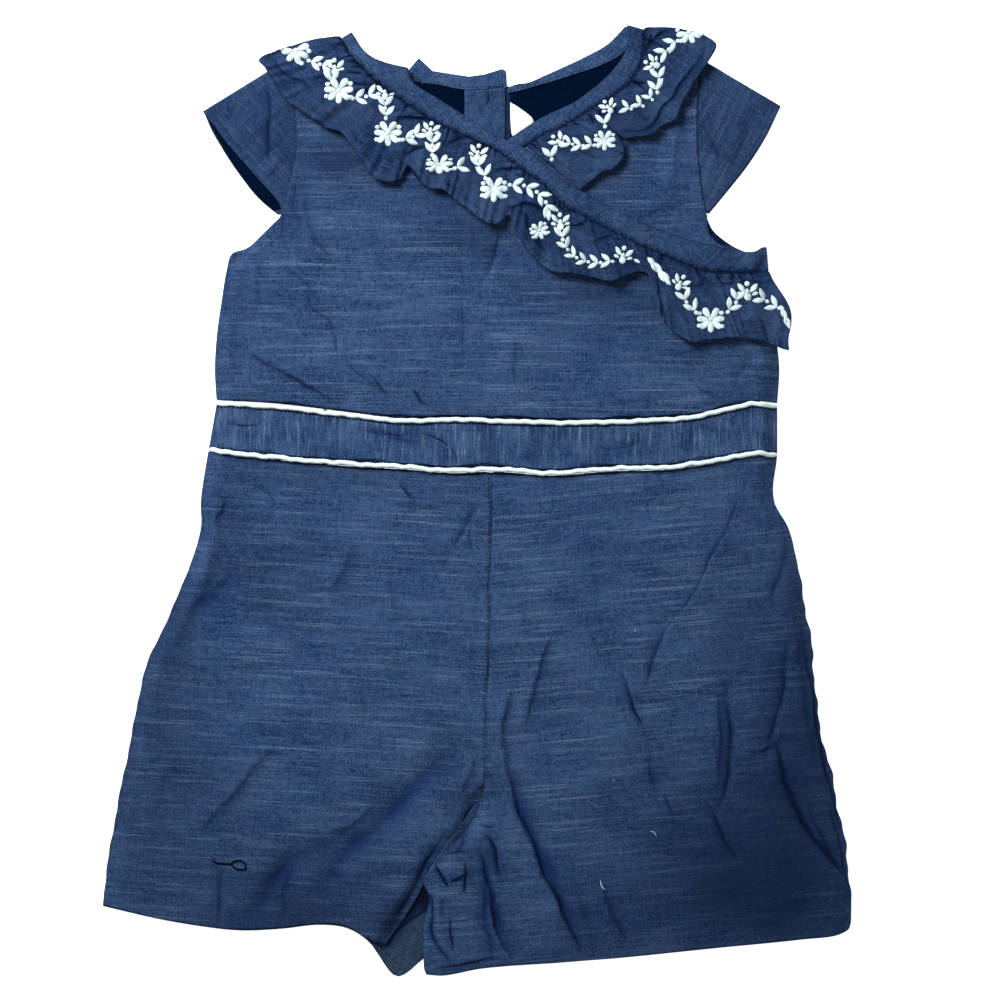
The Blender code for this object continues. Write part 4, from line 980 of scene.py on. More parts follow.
# kind, x, y, turn in degrees, size, squash
embroidery = {
    "over": [
        ("flower", -90, 224.3, -35, 1.05), ("pair", -82, 218.8, -15), ("pair", -76.5, 216.8, -15),
        ("sprig", -70.5, 214.4, 90, 0.9), ("pair", -71.5, 209.3, 100), ("flower", -68.5, 204.3, 0, 1.05),
        ("pair", -60, 200.3, 10), ("pair", -53.5, 201.8, 25), ("sprig", -45.5, 202.3, 90, 0.85),
        ("pair", -45.5, 196.8, 90), ("pair", -45, 191.8, 88), ("flower", -44, 182.8, 0),
        ("pair", -35, 179.8, 15), ("pair", -30.5, 181.8, 35), ("sprig", -23, 183.3, 80, 0.85),
        ("pair", -22, 178.3, 85), ("pair", -22, 173.3, 88), ("flower", -18.5, 167.3, 0, 1, 0.75),
        ("pair", -9.5, 165.8, 20), ("sprig", 0.5, 171.8, 80, 0.9), ("pair", 1, 166.8, 95),
        ("pair", 4, 161.8, 100), ("flower", 8.5, 154.8, 0), ("pair", 18, 156.8, -5), ("pair", 25, 155.8, -25),
        ("pair", 31, 152.3, -40), ("pair", 35, 146.8, -65), ("leaf", 35.5, 142.3, -85),
        ("flower", 31, 134.3, 20, 0.7), ("sprig", 41.5, 137.3, 90, 0.9), ("pair", 42.5, 131.3, 95),
        ("pair", 44.5, 126, 118, 0.9), ("pair", 48.5, 121.6, 140, 0.85), ("pair", 54, 119.2, 160, 0.85),
        ("pair", 60, 118.4, 172, 0.9), ("pair", 66, 119, 176, 0.9), ("sprig", 72.5, 120.8, 80, 0.9),
        ("leaf", 79.5, 119.2, 150, 0.6), ("folded", 90.6, 114, -51), ("sprig", 100.5, 107.3, 60, 0.85),
        ("pair", 103.5, 100.3, 110), ("pair", 108, 95, 120), ("flower", 116, 90.3, 0, 1),
        ("pair", 125.5, 95.3, 55), ("pair", 129, 100.3, 80), ("sprig", 134.5, 102.8, 90),
        ("pair", 143, 100.3, 150), ("pair", 149, 96.8, 150), ("folded", 153.2, 91.5, -68, 0.7),
    ],
    "under": [
        ("flower", 105.5, 233.6, 20, 0.95), ("pair", 98.5, 228.3, 205), ("pair", 94, 223.8, 210),
        ("sprig", 88.5, 217.3, 160, 0.85), ("pair", 90.5, 210.8, 100), ("pair", 89.5, 204.8, 100),
        ("pair", 86.5, 200.6, 130, 0.8), ("pair", 81.5, 197.2, 150, 0.85), ("pair", 75.5, 195.5, 165, 0.85),
        ("sprig", 66, 195.4, 120, 0.8), ("pair", 63.5, 188, 100), ("flower", 63.5, 179.6, 0, 0.8),
        ("pair", 57, 177.3, 165, 0.9), ("pair", 51.5, 177, 172, 0.9), ("pair", 46.5, 178, 160, 0.8),
        ("sprig", 41.5, 178.4, 135, 0.85), ("pair", 37, 171.6, 100), ("dot", 36.5, 166.8, 0),
    ],
    # kind: x, y, turn, length and width of each of its shapes
    "leaf": [(0, 0, 0, 6.4, 2.6)],
    "dot": [(0, 0, 0, 2.4, 2.2)],
    "pair": [(2.4, 1.9, 36, 6.7, 2.6), (2.4, -1.9, -36, 6.7, 2.6), (-1.6, 0, 0, 2.3, 2.1)],
    "sprig": [
        (5.4, 0.3, 0, 2.8, 2.6), (3.2, 3.1, 40, 6.0, 2.6), (3.2, -3.1, -40, 6.0, 2.6), (-1.2, 0, 0, 4.2, 3.9),
        (1.4, 0.2, 0, 3.4, 2.2), (0.2, 3.6, 70, 3.4, 2.3), (0.3, -3.6, -70, 3.4, 2.3),
    ],
    "flower": [
        (-1.9, 3.1, 122, 6.1, 4.1), (2.1, 3.1, 54, 6.1, 4.1), (3.9, 0.2, 4, 6.0, 4.0),
        (-3.9, 0.1, 176, 6.0, 4.0), (2.8, -2.6, -42, 5.8, 3.9), (-2.9, -2.6, -138, 5.8, 3.9),
        (0, -3.7, -90, 5.8, 3.9), (0, 0, 0, 2.4, 2.3), (5.7, -3.5, 0, 2.5, 2.3), (-5.7, -3.2, 0, 2.5, 2.3),
        (5.4, 3.2, 0, 2.5, 2.3), (-5.3, 2.9, 0, 2.4, 2.2),
    ],
    "folded": [
        (-6.6, 0.3, 5, 5.5, 2.8), (-3.4, -0.8, -6, 6.5, 2.1), (-3, 1, 10, 6.5, 2.1), (0.6, 0.2, 0, 7, 2.5),
        (2.6, -1, -8, 6, 2), (3.2, 1.2, 8, 6, 2), (6.2, 0, 0, 5.5, 2.3),
    ],
    "height": 0.6,
}


def shapesOf(rows):
    # every leaf, petal and dot of these rows: x, y, turn, length, width, and whether it is pointed
    shapes = []
    for row in rows:
        kind, x, y, turn, size, squash = (*row, 1, 1)[:6]
        c, s = math.cos(math.radians(turn)), math.sin(math.radians(turn))
        for dx, dy, angle, length, width in embroidery[kind]:
            dx, dy = dx * size, dy * size * squash
            pointed = length > 1.5 * width and kind != "flower"
            narrow = squash ** abs(math.cos(math.radians(angle)))
            shapes.append((x + dx * c - dy * s, y + dx * s + dy * c, turn + angle,
                           length * size * squash / narrow, width * size * narrow, pointed))
    return shapes


def shadowsOf(rows):
    return [(x, y, 2.9, 2.9, 0.16 if length > 3 else 0.08) for x, y, _, length, _, _ in shapesOf(rows)]


# distance along the seam, where the free edge lies, and that edge's lift
ruffles = {
    "overWaves": [
        (0, -97, 225, 1.0), (3, -108, 220, 2.0), (8, -105, 215, 2.5), (15, -98, 203, 1.0),
        (23, -87.5, 194, 3.0), (29, -75.5, 186, 1.0), (34, -67.5, 183, 2.5), (40, -62, 176, 3.5),
        (46, -52.5, 162, 2.5), (50, -45, 158.5, 2.0), (54, -39, 159.5, 1.0), (58, -34.5, 166, 0.3),
        (62, -29.5, 160, 2.0), (69, -23, 155, 3.0), (76, -17, 154.5, 2.5), (83, -11.5, 150, 1.0),
        (92, -3.5, 144, 2.5), (100, 5, 138, 3.5), (105, 11, 138, 2.5), (110, 15.5, 142, 0.5),
        (115, 17.5, 139, 0.4), (119, 20.5, 131, 2.5), (124, 27, 122, 3.5), (129, 37, 114, 2.0),
        (137, 47, 113, 3.0), (146, 57.5, 111, 1.5), (154, 66.5, 109, 3.0), (163, 72.5, 111, 2.0),
        (170, 81.5, 114, 0.3), (175, 88.5, 109, 0.5), (182, 90, 100, 3.0), (189, 93.5, 88, 3.5),
        (197, 105.5, 79, 2.0), (207, 113.5, 80, 1.0), (216, 123.5, 81, 2.5), (225, 131, 81, 1.0),
        (235, 140, 80, 2.5), (251, 155, 75, 1.5),
    ],
    "underWaves": [
        (0, 111.5, 233, 1.0), (4, 119, 227, 1.5), (8, 114.5, 218, 1.5), (13, 110, 211, 0.6),
        (19, 105.5, 204, 1.8), (25, 102, 198, 1.2), (31, 99, 190, 1.8), (38, 93, 187, 1.0), (44, 86, 182, 1.8),
        (51, 78.5, 181, 1.0), (55, 72.5, 181, 1.8), (59, 68.5, 185, 0.3), (63, 71, 180, 0.6),
        (67, 73.5, 174, 1.6), (72, 71.5, 169, 1.0), (76, 67.5, 165, 1.4), (80, 63, 164, 0.6),
        (84, 56.5, 159, 0.8), (89, 51.5, 155, 0.5),
    ],
    "overCells": (500, 52), "underCells": (250, 40), "floor": 4.4, "gatherPitch": 4.6, "gatherHeight": 1.15,
    "hem": 4.2, "hemStep": 0.3, "wall": 0.45, "fullness": 1.35,
    "shade": 0.36, "seamShade": 0.6, "hemShade": 0.22, "edgeShade": 0.3,
    "crumple": (0.34, 0.34, 0.2, -0.3),  # small and large lumps, fine crinkles and nicks
    # along the seam, reach along it, shift of the root and of the middle
    "overBulges": [(0, 6, (1.0, 1.7), (0, 1.0)), (251, 7, (0, 0), (5.6, 0))],
    "underBulges": [(0, 5, (0, 0.6), (1.5, 1.0))],
    # path, height, left width, right width, painted shade line, soft painted shade
    "overCreases": [
        ([(-65.2, 212.3), (-56.8, 212.7)], -0.6, 1.2, 2, 0.6, 0.2),
        ([(-63.8, 207.8), (-51.1, 208.1)], -0.6, 1, 2, 0.7, 0.2),
        ([(-62.4, 206), (-56, 206.4), (-48.3, 205.7)], 0.8, 1.5, 2, 0.5, 0.2),
        ([(-61.7, 203.6), (-51.1, 204.3)], -0.7, 1.2, 2, 0.7, 0.3),
        ([(-81.3, 210.2), (-76.4, 211.2)], -0.5, 1, 2, 0.6, 0.2),
        ([(-99.6, 221.8), (-97.5, 216.9), (-92.5, 211.3), (-83.4, 208.5)], 0.8, 3, 1.5, 0.5, 0.1),
        ([(-40, 191.6), (-33, 191), (-23, 191)], 1.0, 2, 1.2, 0.9, 0.3),
        ([(-40.6, 193), (-30, 197.2), (-22.4, 191.6)], -0.7, 2, 1.5, 0.6, 0.2),
        ([(-35.7, 172), (-30, 175.5), (-25.2, 175.5)], -0.8, 2, 2, 0.8, 0.35),
        ([(-55.4, 166.4), (-46.3, 170.6), (-35.7, 173.4)], 0.9, 3, 3, 0.1, 0.15),
        ([(-34.3, 167.8), (-30.8, 162.9), (-27.3, 158)], 1.2, 3, 1.5, 0.7, 0.3),
        ([(-6.7, 181.6), (-14.4, 176.7)], -0.7, 2, 1.5, 0.7, 0.25),
        ([(8.8, 165.4), (15.8, 166.1), (21.4, 165.4)], 0.8, 1.5, 1.2, 0.8, 0.3),
        ([(14.4, 147), (25.6, 148.2), (34.7, 144.4)], 1.0, 3, 2, 0.8, 0.5),
        ([(24.9, 146), (25.6, 138), (29.8, 129.6), (34.7, 121.2)], -1.4, 2.5, 3, 0.8, 0.5),
        ([(22.5, 138), (24.5, 128.5), (30, 120.6)], 0.9, 2.5, 2, 0, 0.1),
        ([(37, 152), (42, 146), (49, 144)], -0.8, 1.5, 2, 0.6, 0.3),
        ([(40, 156), (52, 147)], 0.7, 1.5, 2, 0.4, 0.3),
        ([(44, 140.5), (48.8, 138), (56.5, 141)], 0.6, 1.5, 1.2, 0.5, 0.2),
        ([(57.2, 129.6), (67.7, 133.1)], 0.6, 1.5, 1.2, 0.5, 0.15),
        ([(80.5, 130), (85, 123), (88, 116)], -1.2, 2.5, 2, 0.7, 0.4),
        ([(99.8, 115.7), (103.6, 118), (108.7, 114.4), (110.6, 110), (108.7, 106.1)], 0.7, 1.3, 1.5, 0.5, 0.2),
        ([(107.4, 105.5), (111.9, 106.1), (114.4, 111.8)], 0.7, 1.3, 1.5, 0.6, 0.2),
        ([(118, 112), (122, 108), (128, 109)], -0.5, 1.5, 2, 0.5, 0.2),
        ([(93, 112), (96, 104), (102, 96), (106, 90)], 0.8, 4, 3, 0.1, 0.1),
        ([(132, 110), (146, 108)], 0.5, 2, 2, 0.3, 0.15),
        ([(104, 88), (122, 86.5), (140, 88), (152, 86)], 0.3, 1.2, 1.5, 0.35, 0.05),
    ],
    "underCreases": [
        ([(94.5, 235), (88.9, 231.6), (84, 226.7), (81.8, 223.2)], 0.8, 1.2, 2, 0.9, 0.3),
        ([(87, 233.5), (86.5, 229.5), (84.6, 224.6)], -0.8, 1.5, 1.5, 0.8, 0.3),
        ([(76.9, 209.9), (81.8, 209.2), (84.6, 208.5)], 0.7, 1.5, 1.2, 0.8, 0.3),
        ([(55.2, 193), (58, 187.5)], -0.8, 1.3, 1.5, 0.8, 0.3),
        ([(60, 195), (61, 188)], 0.7, 1.2, 1.5, 0.5, 0.3), ([(66, 201), (70, 192)], -0.6, 1.5, 2, 0.5, 0.3),
        ([(112, 226), (107.8, 216.2), (100.1, 207.8), (95.9, 200.8), (91, 195.9), (86.7, 188.1), (81.1, 185.6),
          (70, 185.2)], 0.7, 1.5, 2.5, 0.7, 0.15),
        ([(81, 205), (89, 199)], 0.5, 3, 2, 0.2, 0.2),
        ([(46, 176), (58, 170), (68, 171)], 0.5, 2, 3, 0.3, 0.15),
    ],
    # patches of painted shade, and of painted light where the depth is below zero
    "overShadePatches": [
        (-72, 190, 20, 14, 0.22), (-28, 166, 16, 12, 0.2), (-2, 160, 14, 12, 0.14), (26, 134, 16, 14, 0.14),
        (74, 114, 16, 10, 0.2), (96, 100, 12, 12, 0.1), (152, 100, 12, 16, -0.25), (-84, 226, 16, 8, -0.2),
    ],
    # a patch of painted shade
    "underShadePatches": [(76, 188, 16, 12, 0.15)],
}


def rufflePlace(seamRow, waves, frontTop, shift, seed, creases, bulges, shadePatches):
    seam, length = lineThrough(seamRow)
    numbers = np.arange(len(waves))
    alongAt, xAt, yAt, liftAt = [smoothTable(numbers, [wave[i] for wave in waves]) for i in range(4)]
    phases = np.random.default_rng(seed).uniform(0, 6.28, 4)

    def place(u, v):
        number, out = u * numbers[-1], 1 - v
        along = alongAt(number)
        root = seam(np.minimum(along / length, 1)) + np.array(shift)
        edge = np.column_stack([xAt(number), yAt(number)])
        flat = root * (1 - out[:, None]) + edge * out[:, None]
        for at, reach, rootShift, middleShift in bulges:
            near = np.exp(-((along - at) / reach) ** 2)[:, None]
            bulge = (1 - out)[:, None] * np.array(rootShift)
            bulge = bulge + np.sin(np.pi * out)[:, None] ** 2 * np.array(middleShift)
            flat = flat + near * bulge
        x, y = flat[:, 0], flat[:, 1]
        width = np.hypot(*(edge - root).T)
        reach = out * width
        pitch = ruffles["gatherPitch"]
        phase = along / pitch + 0.5 * np.sin(along * 0.19 + phases[0]) + 0.3 * np.sin(along * 0.53 + phases[1])
        phase = phase + 0.06 * reach * np.sin(along * 0.35 + phases[3])
        pleat = np.abs(np.sin(np.pi * phase)) ** 0.7 - 0.5
        uneven = 0.5 + 0.5 * np.sin(along * 0.31 + phases[2])
        falls = np.exp(-(reach / (4.6 + 2.6 * np.sin(np.floor(phase + 0.5) * 2.4))) ** 1.5)
        gather = ruffles["gatherHeight"] * pleat * (0.3 + uneven) * falls * smoothStep(reach / 1.2)
        swell = 0.5 * np.sin(2 * np.pi * phase * 0.4 + 1) * smoothStep(reach / 12)
        fromHem = width - reach
        hem = ruffles["hemStep"] * smoothStep((ruffles["hem"] - fromHem) / 0.5 + 0.5)
        relief, folds = creaseFields(x, y, creases)
        # painted shade lines in the gathers' valleys, with soft painted shade beside them
        folds[:, foldLayers - 1] = np.sin(np.pi * phase) * pitch / np.pi
        folds[:, 2 * foldLayers - 1] = 0.9 * (0.25 + uneven) * falls * smoothStep(reach / 0.8)
        small, large = rippleField(x, y, seed, 2.4, 1.8, 40), rippleField(x, y, seed + 5, 8, 1.3, 70)
        crinkle = rippleField(x, y, seed + 2, 0.9, 2.8, 75) * (0.2 + np.exp(-(reach / 8) ** 2))
        nicks = np.exp(-(rippleField(x, y, seed + 12, 6, 1.5, 75) / 0.11) ** 2) * np.exp(-(reach / 13) ** 2)
        fields = (small, large, crinkle, nicks)
        crumple = sum(size * field for size, field in zip(ruffles["crumple"], fields))
        ground = np.maximum(frontTop(x, y), ruffles["floor"])
        z = ground - 0.7 + 2.0 * smoothStep(reach / 1.7) + 1.2 * smoothStep(out * 3)
        z = z + liftAt(number) * out ** 1.5 + gather + swell + hem
        z = z + (relief + crumple) * smoothStep(reach / 1.5) * smoothStep(fromHem / 1.0)
        # painted shade over the ruffle, painted light and shade that follow the crumples and nicks, and painted
        # shade at the seam, the hem and the free edge
        shade = paintedShadeField(x, y, shadePatches) + ruffles["shade"] + 0.3 * np.clip(0.1 - pleat, 0, 1) * uneven * falls
        shade = shade - 0.06 * small - 0.05 * large - 0.15 * crinkle + 0.26 * nicks
        shade = shade + 0.12 * np.exp(-(reach / 8) ** 2)
        shade = shade + ruffles["seamShade"] * np.exp(-((reach - 0.5) / 0.9) ** 2)
        shade = shade + ruffles["hemShade"] * np.exp(-((fromHem - ruffles["hem"]) / 0.45) ** 2)
        shade = shade + ruffles["edgeShade"] * np.exp(-(fromHem / 0.5) ** 2)
        shade = shade + 0.08 * rippleField(x, y, seed + 9, 7, 1.2, 10)
        cloth = turned(np.column_stack([along * ruffles["fullness"], reach]), 78)
        return np.column_stack([x, y, z]), cloth, shade, folds
    return place


def makeRuffles():
    place = rufflePlace(seams["overSeam"], ruffles["overWaves"], overTop, (0.3, 0.5), 31, ruffles["overCreases"],
                        ruffles["overBulges"], shadowsOf(embroidery["over"]) + ruffles["overShadePatches"])
    over = addShell("ruffleOver", "ruffle_over", ruffles["overCells"], place, "ruffle", ruffles["wall"])
    place = rufflePlace(seams["underSeam"], ruffles["underWaves"], underFrontTop, (-0.4, 0.5), 33,
                        ruffles["underCreases"], ruffles["underBulges"],
                        shadowsOf(embroidery["under"]) + ruffles["underShadePatches"])
    under = addShell("ruffleUnder", "ruffle_under", ruffles["underCells"], place, "ruffle", ruffles["wall"],
                     flipped=True)


makeRuffles()
print("ruffles made")


def roundCopies(name, count, segments, rings):
    # balls side by side in one mesh, with the vertices of each and their places on the ball
    apart = 4
    drawn = bmesh.new()
    for number in range(count):
        bmesh.ops.create_uvsphere(drawn, u_segments=segments, v_segments=rings, radius=1,
                                  matrix=Matrix.Translation((apart * number, 0, 0)))
    mesh = meshFrom(drawn, name)
    flat = pointsOf(mesh)
    order = np.argsort(np.rint(flat[:, 0] / apart), kind="stable").reshape(count, -1)
    places = flat[order]
    places[:, :, 0] -= apart * np.arange(count)[:, None]
    return mesh, order, places


def setCopies(mesh, order, spots, cloth):
    flat, flatCloth = np.zeros((order.size, 3)), np.zeros((order.size, 2))
    flat[order.ravel()], flatCloth[order.ravel()] = spots.reshape(-1, 3), cloth.reshape(-1, 2)
    setMesh(mesh, flat, flatCloth)


def addEmbroidery(name, rows, surfaces):
    # padded shapes lying on the surfaces below
    kept = [row for row in shapesOf(rows) if topOn(surfaces, row[0], row[1]) is not None]
    mesh, order, flat = roundCopies(name, len(kept), 12, 8)
    spots, cloth = np.zeros_like(flat), np.zeros((*flat.shape[:2], 2))
    for number, (x, y, turn, length, width, pointed) in enumerate(kept):
        along, across, up = flat[number, :, 2], flat[number, :, 0], flat[number, :, 1]
        round_ = np.sqrt(np.maximum(0, 1 - along * along))
        taper = round_ * 1.1 if pointed else (0.78 + 0.24 * along if length > 1.3 * width else 1.0)
        c, s = math.cos(math.radians(turn)), math.sin(math.radians(turn))
        a, b = along * length / 2, across * taper * width / 2
        middle = topOn(surfaces, x, y)
        spots[number, :, 0], spots[number, :, 1] = x + a * c - b * s, y + a * s + b * c
        for i, (px, py) in enumerate(spots[number, :, :2]):
            ground = topOn(surfaces, px, py)
            spots[number, i, 2] = min(max(middle if ground is None else ground, middle - 1.2), middle + 1.2)
        spots[number, :, 2] += embroidery["height"] * np.maximum(up, -0.15) * (0.75 + 0.25 * taper)
        cloth[number] = np.column_stack([a, b])
    setCopies(mesh, order, spots, cloth)
    addPiece(name, mesh, "embroidery")


addEmbroidery("embroideryOver", embroidery["over"], [surfaceOf("ruffleOver")])
addEmbroidery("embroideryUnder", embroidery["under"], [surfaceOf("ruffleUnder")])
print("embroidery made")

sleeves = {
    "cells": (56, 110), "wall": 0.5, "liningTop": 1.15,
    "rootZ": 1.0, "frontZ": 3.1, "backZ": 0.275, "puff": 0.8, "foldShare": 0.14, "swell": 0.08,
    "hemAt": 0.93, "hemShade": 0.25,
    "left": {
        "fold": [(-91, 222.8), (-137, 194.8)],
        "armhole": [(-90.4, 221.6), (-89.8, 198), (-89, 176), (-92.6, 158), (-97.3, 143.7)],
        "frontHem": [
            (-136.1, 193.4), (-130.2, 186.2), (-124.6, 178.7), (-116.5, 169.4), (-106, 157.6), (-98, 148.8),
        ],
        "backHem": [
            (-136.1, 193.4), (-132.6, 185.3), (-128.2, 177.6), (-122.7, 168.9), (-116.5, 160.3),
            (-110.4, 152.7), (-103.5, 146.4), (-99.6, 143.4),
        ],
        "grain": -48, "shade": 0.42, "seamShade": 0.35,
        "creases": [
            ([(-94, 200), (-118, 180)], 0.6, 4, 7, 0.15, 0.2),
            ([(-93, 185), (-112, 168)], -0.5, 4, 6, 0.15, 0.3), ([(-96, 214), (-125, 192)], 0.5, 5, 8, 0, 0.15),
            ([(-104.5, 208), (-102.9, 196.4), (-103.5, 185), (-104.4, 175),
              (-104, 168)], -1.0, 1.5, 7, 0.5, 0.6),
            ([(-103.5, 181), (-97.5, 174.5), (-92.5, 169)], 0.7, 2, 2, 0.25, 0.15),
            ([(-98, 172), (-108, 160)], 0.5, 3, 4, 0.2, 0.2),
            ([(-110, 196), (-119, 184), (-118, 174)], 0.4, 3, 5, 0.1, 0.15),
        ],
    },
    "right": {
        "fold": [(110.5, 221.2), (152, 197.8)],
        "armhole": [(109.6, 220.4), (109.3, 203), (109.1, 178), (111.7, 153), (114.1, 144.4)],
        "frontHem": [(151, 196), (144.5, 183.2), (135, 168.5), (124.5, 155.2), (115.6, 144.6)],
        "backHem": [(151, 196), (144.8, 182.9), (135.4, 168), (124.9, 154.7), (116, 143.9)],
        "grain": 64, "shade": 0.30, "seamShade": 0.15,
        "creases": [
            ([(112, 196), (124, 189), (138, 184)], 0.7, 3, 6, 0.15, 0.15),
            ([(112, 180), (130, 168)], -0.6, 3, 5, 0.1, 0.2), ([(113, 208), (140, 196)], 0.5, 5, 7, 0, 0.12),
            ([(138.5, 197.5), (135, 188), (130, 175.5), (124, 166)], -0.7, 3, 3, 0.15, 0.4),
            ([(112, 190), (118, 180), (121, 170)], -0.6, 2, 4, 0.25, 0.35),
        ],
    },
}


def sleevePlace(side):
    foldStart, foldEnd = [np.array(p) for p in side["fold"]]
    direction = (foldEnd - foldStart) / np.linalg.norm(foldEnd - foldStart)
    outward = np.array([-direction[1], direction[0]])
    if outward[1] < 0:
        outward = -outward
    armholeAt, frontAt, backAt = curveOf(side["armhole"]), curveOf(side["frontHem"]), curveOf(side["backHem"])
    rootZ, topZ, backZ, foldShare = [sleeves[key] for key in ("rootZ", "frontZ", "backZ", "foldShare")]

    def place(u, v):
        around = 2 * v - 1
        share = np.maximum(0, (np.abs(around) - foldShare) / (1 - foldShare))
        uu = u[:, None]
        hem = np.where((around > 0)[:, None], frontAt(share), backAt(share))
        flat = armholeAt(share) * (1 - uu) + hem * uu
        puff = sleeves["puff"] * np.sin(np.pi * share) * np.sin(np.pi * np.clip(u, 0, 1))
        relief, folds = creaseFields(flat[:, 0], flat[:, 1], side["creases"])
        relief = relief + sleeves["swell"] * rippleField(flat[:, 0], flat[:, 1], 8, 7, 2, 60)
        edge = np.sin(np.pi * np.clip(share, 0, 1))
        root = rootZ + (topZ - rootZ) * np.sqrt(np.clip(edge, 0, 1))
        frontZ = root + (topZ - root + puff + relief * edge) * smoothStep(u / 0.06)
        radius = (rootZ + (topZ - rootZ) * smoothStep(u / 0.06) - backZ) / 2
        angle = np.clip(around / foldShare, -1, 1) * math.pi / 2
        turning = np.abs(around) < foldShare
        z = np.where(turning, backZ + radius + radius * np.sin(angle), np.where(around > 0, frontZ, backZ))
        flat = flat + np.where(turning[:, None], outward * (radius * np.cos(angle))[:, None], 0)
        # painted shade over the sleeve, darker at the armhole seam and along the hem line
        shade = side["shade"] + side["seamShade"] * np.exp(-u * 14)
        shade = shade + sleeves["hemShade"] * np.exp(-((u - sleeves["hemAt"]) / 0.012) ** 2)
        return np.column_stack([flat, z]), turned(flat, side["grain"]), shade, folds
    return place


def makeSleeves():
    for name, side in (("Left", sleeves["left"]), ("Right", sleeves["right"])):
        sleeve = addShell("sleeve" + name, "sleeve_" + name.lower(), sleeves["cells"], sleevePlace(side),
                          "sleeve", sleeves["wall"], offset=0)
        armholeAt, hemAt = curveOf(side["armhole"]), curveOf(side["backHem"])
        shares = np.linspace(0.06, 0.95, 12)
        inner = [tuple(armholeAt(s) * 0.96 + hemAt(s) * 0.04) for s in shares]
        outer = [tuple(armholeAt(s) * 0.015 + hemAt(s) * 0.985) for s in shares]
        lining = addCutPiece("sleeveLining" + name, "sleeve_lining_" + name.lower(), [inner, reversedRow(outer)],
                             "lining", 4, levelTop(sleeves["liningTop"], 5, 0.05))


makeSleeves()
print("sleeves made")

# waistband and piping
waist = {
    "cells": (300, 24), "backPiping": 0.9, "ripple": 0.22, "cordShade": 0.28, "mottle": 0.12, "shade": -0.14,
    "pipingRadius": 1.16, "pipingRise": 0.65, "pipingSides": 14, "pipingSteps": 560,
    "waver": (0.04, 0.14), "waves": (0.21, 0.37, 0.55, 0.9),
    # path, height, left width, right width, painted shade line, soft painted shade
    "creases": [
        ([(-126, 38.8), (-122.5, 39.3), (-115.5, 38.3), (-107, 37.8)], -0.5, 1.5, 3, 0.5, 0.1),
        ([(-62, 37.3), (-54.5, 35), (-40, 33.3), (-28, 34.7)], -0.6, 1.5, 4, 0.55, 0.5),
        ([(-44, 31.5), (-38, 31.8), (-33, 30), (-27, 30.8)], -0.5, 1.5, 3, 0.35, 0.6),
        ([(-27.5, 33.3), (-21, 32.3), (-13.5, 27.3)], -0.5, 1.5, 3, 0.8, 0.3),
        ([(60, 31), (72, 29), (84, 31)], -0.4, 2, 3, 0.2, 0.15),
        ([(112, 37), (124, 34), (134, 36)], -0.4, 2, 3, 0.25, 0.15),
        ([(4, 30), (16, 27)], 0.4, 2, 3, 0.15, 0.1),
        ([(60, 24.5), (72, 27), (86, 31.5)], -0.5, 2, 3, 0.35, 0.15),
        ([(-122, 31), (-116, 33)], 0.3, 1.5, 2, 0.2, 0.1), ([(96, 28), (108, 25.5)], -0.4, 2, 3, 0.2, 0.1),
    ],
    # patches of painted shade, and of painted light where the depth is below zero
    "shadePatches": [(-134, 38, 22, 30, 0.2), (24, 38, 22, 14, 0.1), (60, 20, 50, 7, -0.1), (118, 32, 18, 12, 0.07)],
}


def waistbandTop(x, y):
    ripple = waist["ripple"] * rippleField(x, y, 41, 7, 6, 0)
    edge = smoothStep(sideRoom(x, y) / layers["sideRamp"])
    return underTop(x, y) + (layers["bandRise"] + ripple + creaseFields(x, y, waist["creases"])[0]) * edge


def waistbandShade(x, y):
    # painted shade beside the two cords
    byCord = np.exp(-((upperPipingAt(x) - y) / 2.2) ** 2) + 0.7 * np.exp(-((y - lowerPipingAt(x)) / 2.2) ** 2)
    shade = waist["cordShade"] * byCord + waist["mottle"] * rippleField(x, y, 44, 26, 3, 0)
    shade = shade + paintedShadeField(x, y, waist["shadePatches"]) + waist["shade"]
    return shade, creaseFields(x, y, waist["creases"])[1]


def addCord(name, middle, radius, sides, finish, node=None):
    # a round cord along the points of its middle line
    drawn = bmesh.new()
    bmesh.ops.create_cone(drawn, cap_ends=True, cap_tris=False, segments=sides, radius1=1, radius2=1, depth=1,
                          matrix=Matrix.Rotation(math.pi / 2, 4, "Y"))
    long = [edge for edge in drawn.edges if abs(edge.verts[0].co.x - edge.verts[1].co.x) > 0.5]
    bmesh.ops.subdivide_edges(drawn, edges=long, cuts=len(middle) - 2, use_grid_fill=True)
    mesh = meshFrom(drawn, name)
    flat = pointsOf(mesh)
    step = np.rint((flat[:, 0] + 0.5) * (len(middle) - 1)).astype(int)
    way = np.gradient(middle, axis=0)
    way = way / np.linalg.norm(way[:, :2], axis=1)[:, None]
    across = np.column_stack([-way[:, 1], way[:, 0], np.zeros(len(way))])
    spots = middle[step] + across[step] * (flat[:, 1] * radius[step])[:, None]
    spots[:, 2] += flat[:, 2] * radius[step] * 0.85
    along = np.concatenate([[0], np.cumsum(np.linalg.norm(np.diff(middle, axis=0), axis=1))])
    setMesh(mesh, spots, np.column_stack([along[step], flat[:, 1]]))
    addPiece(name, mesh, finish, node)


def addPiping(name, node, row, seed, sway):
    # a corded edge that wavers a little and is pinched by its stitches
    at = np.linspace(row[0][0], row[-1][0], waist["pipingSteps"])
    rng = np.random.default_rng(seed)
    waver = sum(rng.uniform(*waist["waver"]) * np.sin(at * f + rng.uniform(0, 6.28)) for f in waist["waves"])
    middleY = heightAlong(row)(at) + sway * waver
    radius = waist["pipingRadius"] * (1 + 0.05 * np.sin(at * 3.5) + 0.04 * np.sin(at * 0.8 + seed))
    radius = radius * (0.5 + 0.5 * smoothStep(np.minimum(at - at[0], at[-1] - at) / 2))
    rise = layers["bandRise"] * smoothStep(sideRoom(at, middleY) / layers["sideRamp"])
    middle = np.column_stack([at, middleY, underTop(at, middleY) + rise + waist["pipingRise"]])
    addCord(name, middle, radius, waist["pipingSides"], "piping", node)


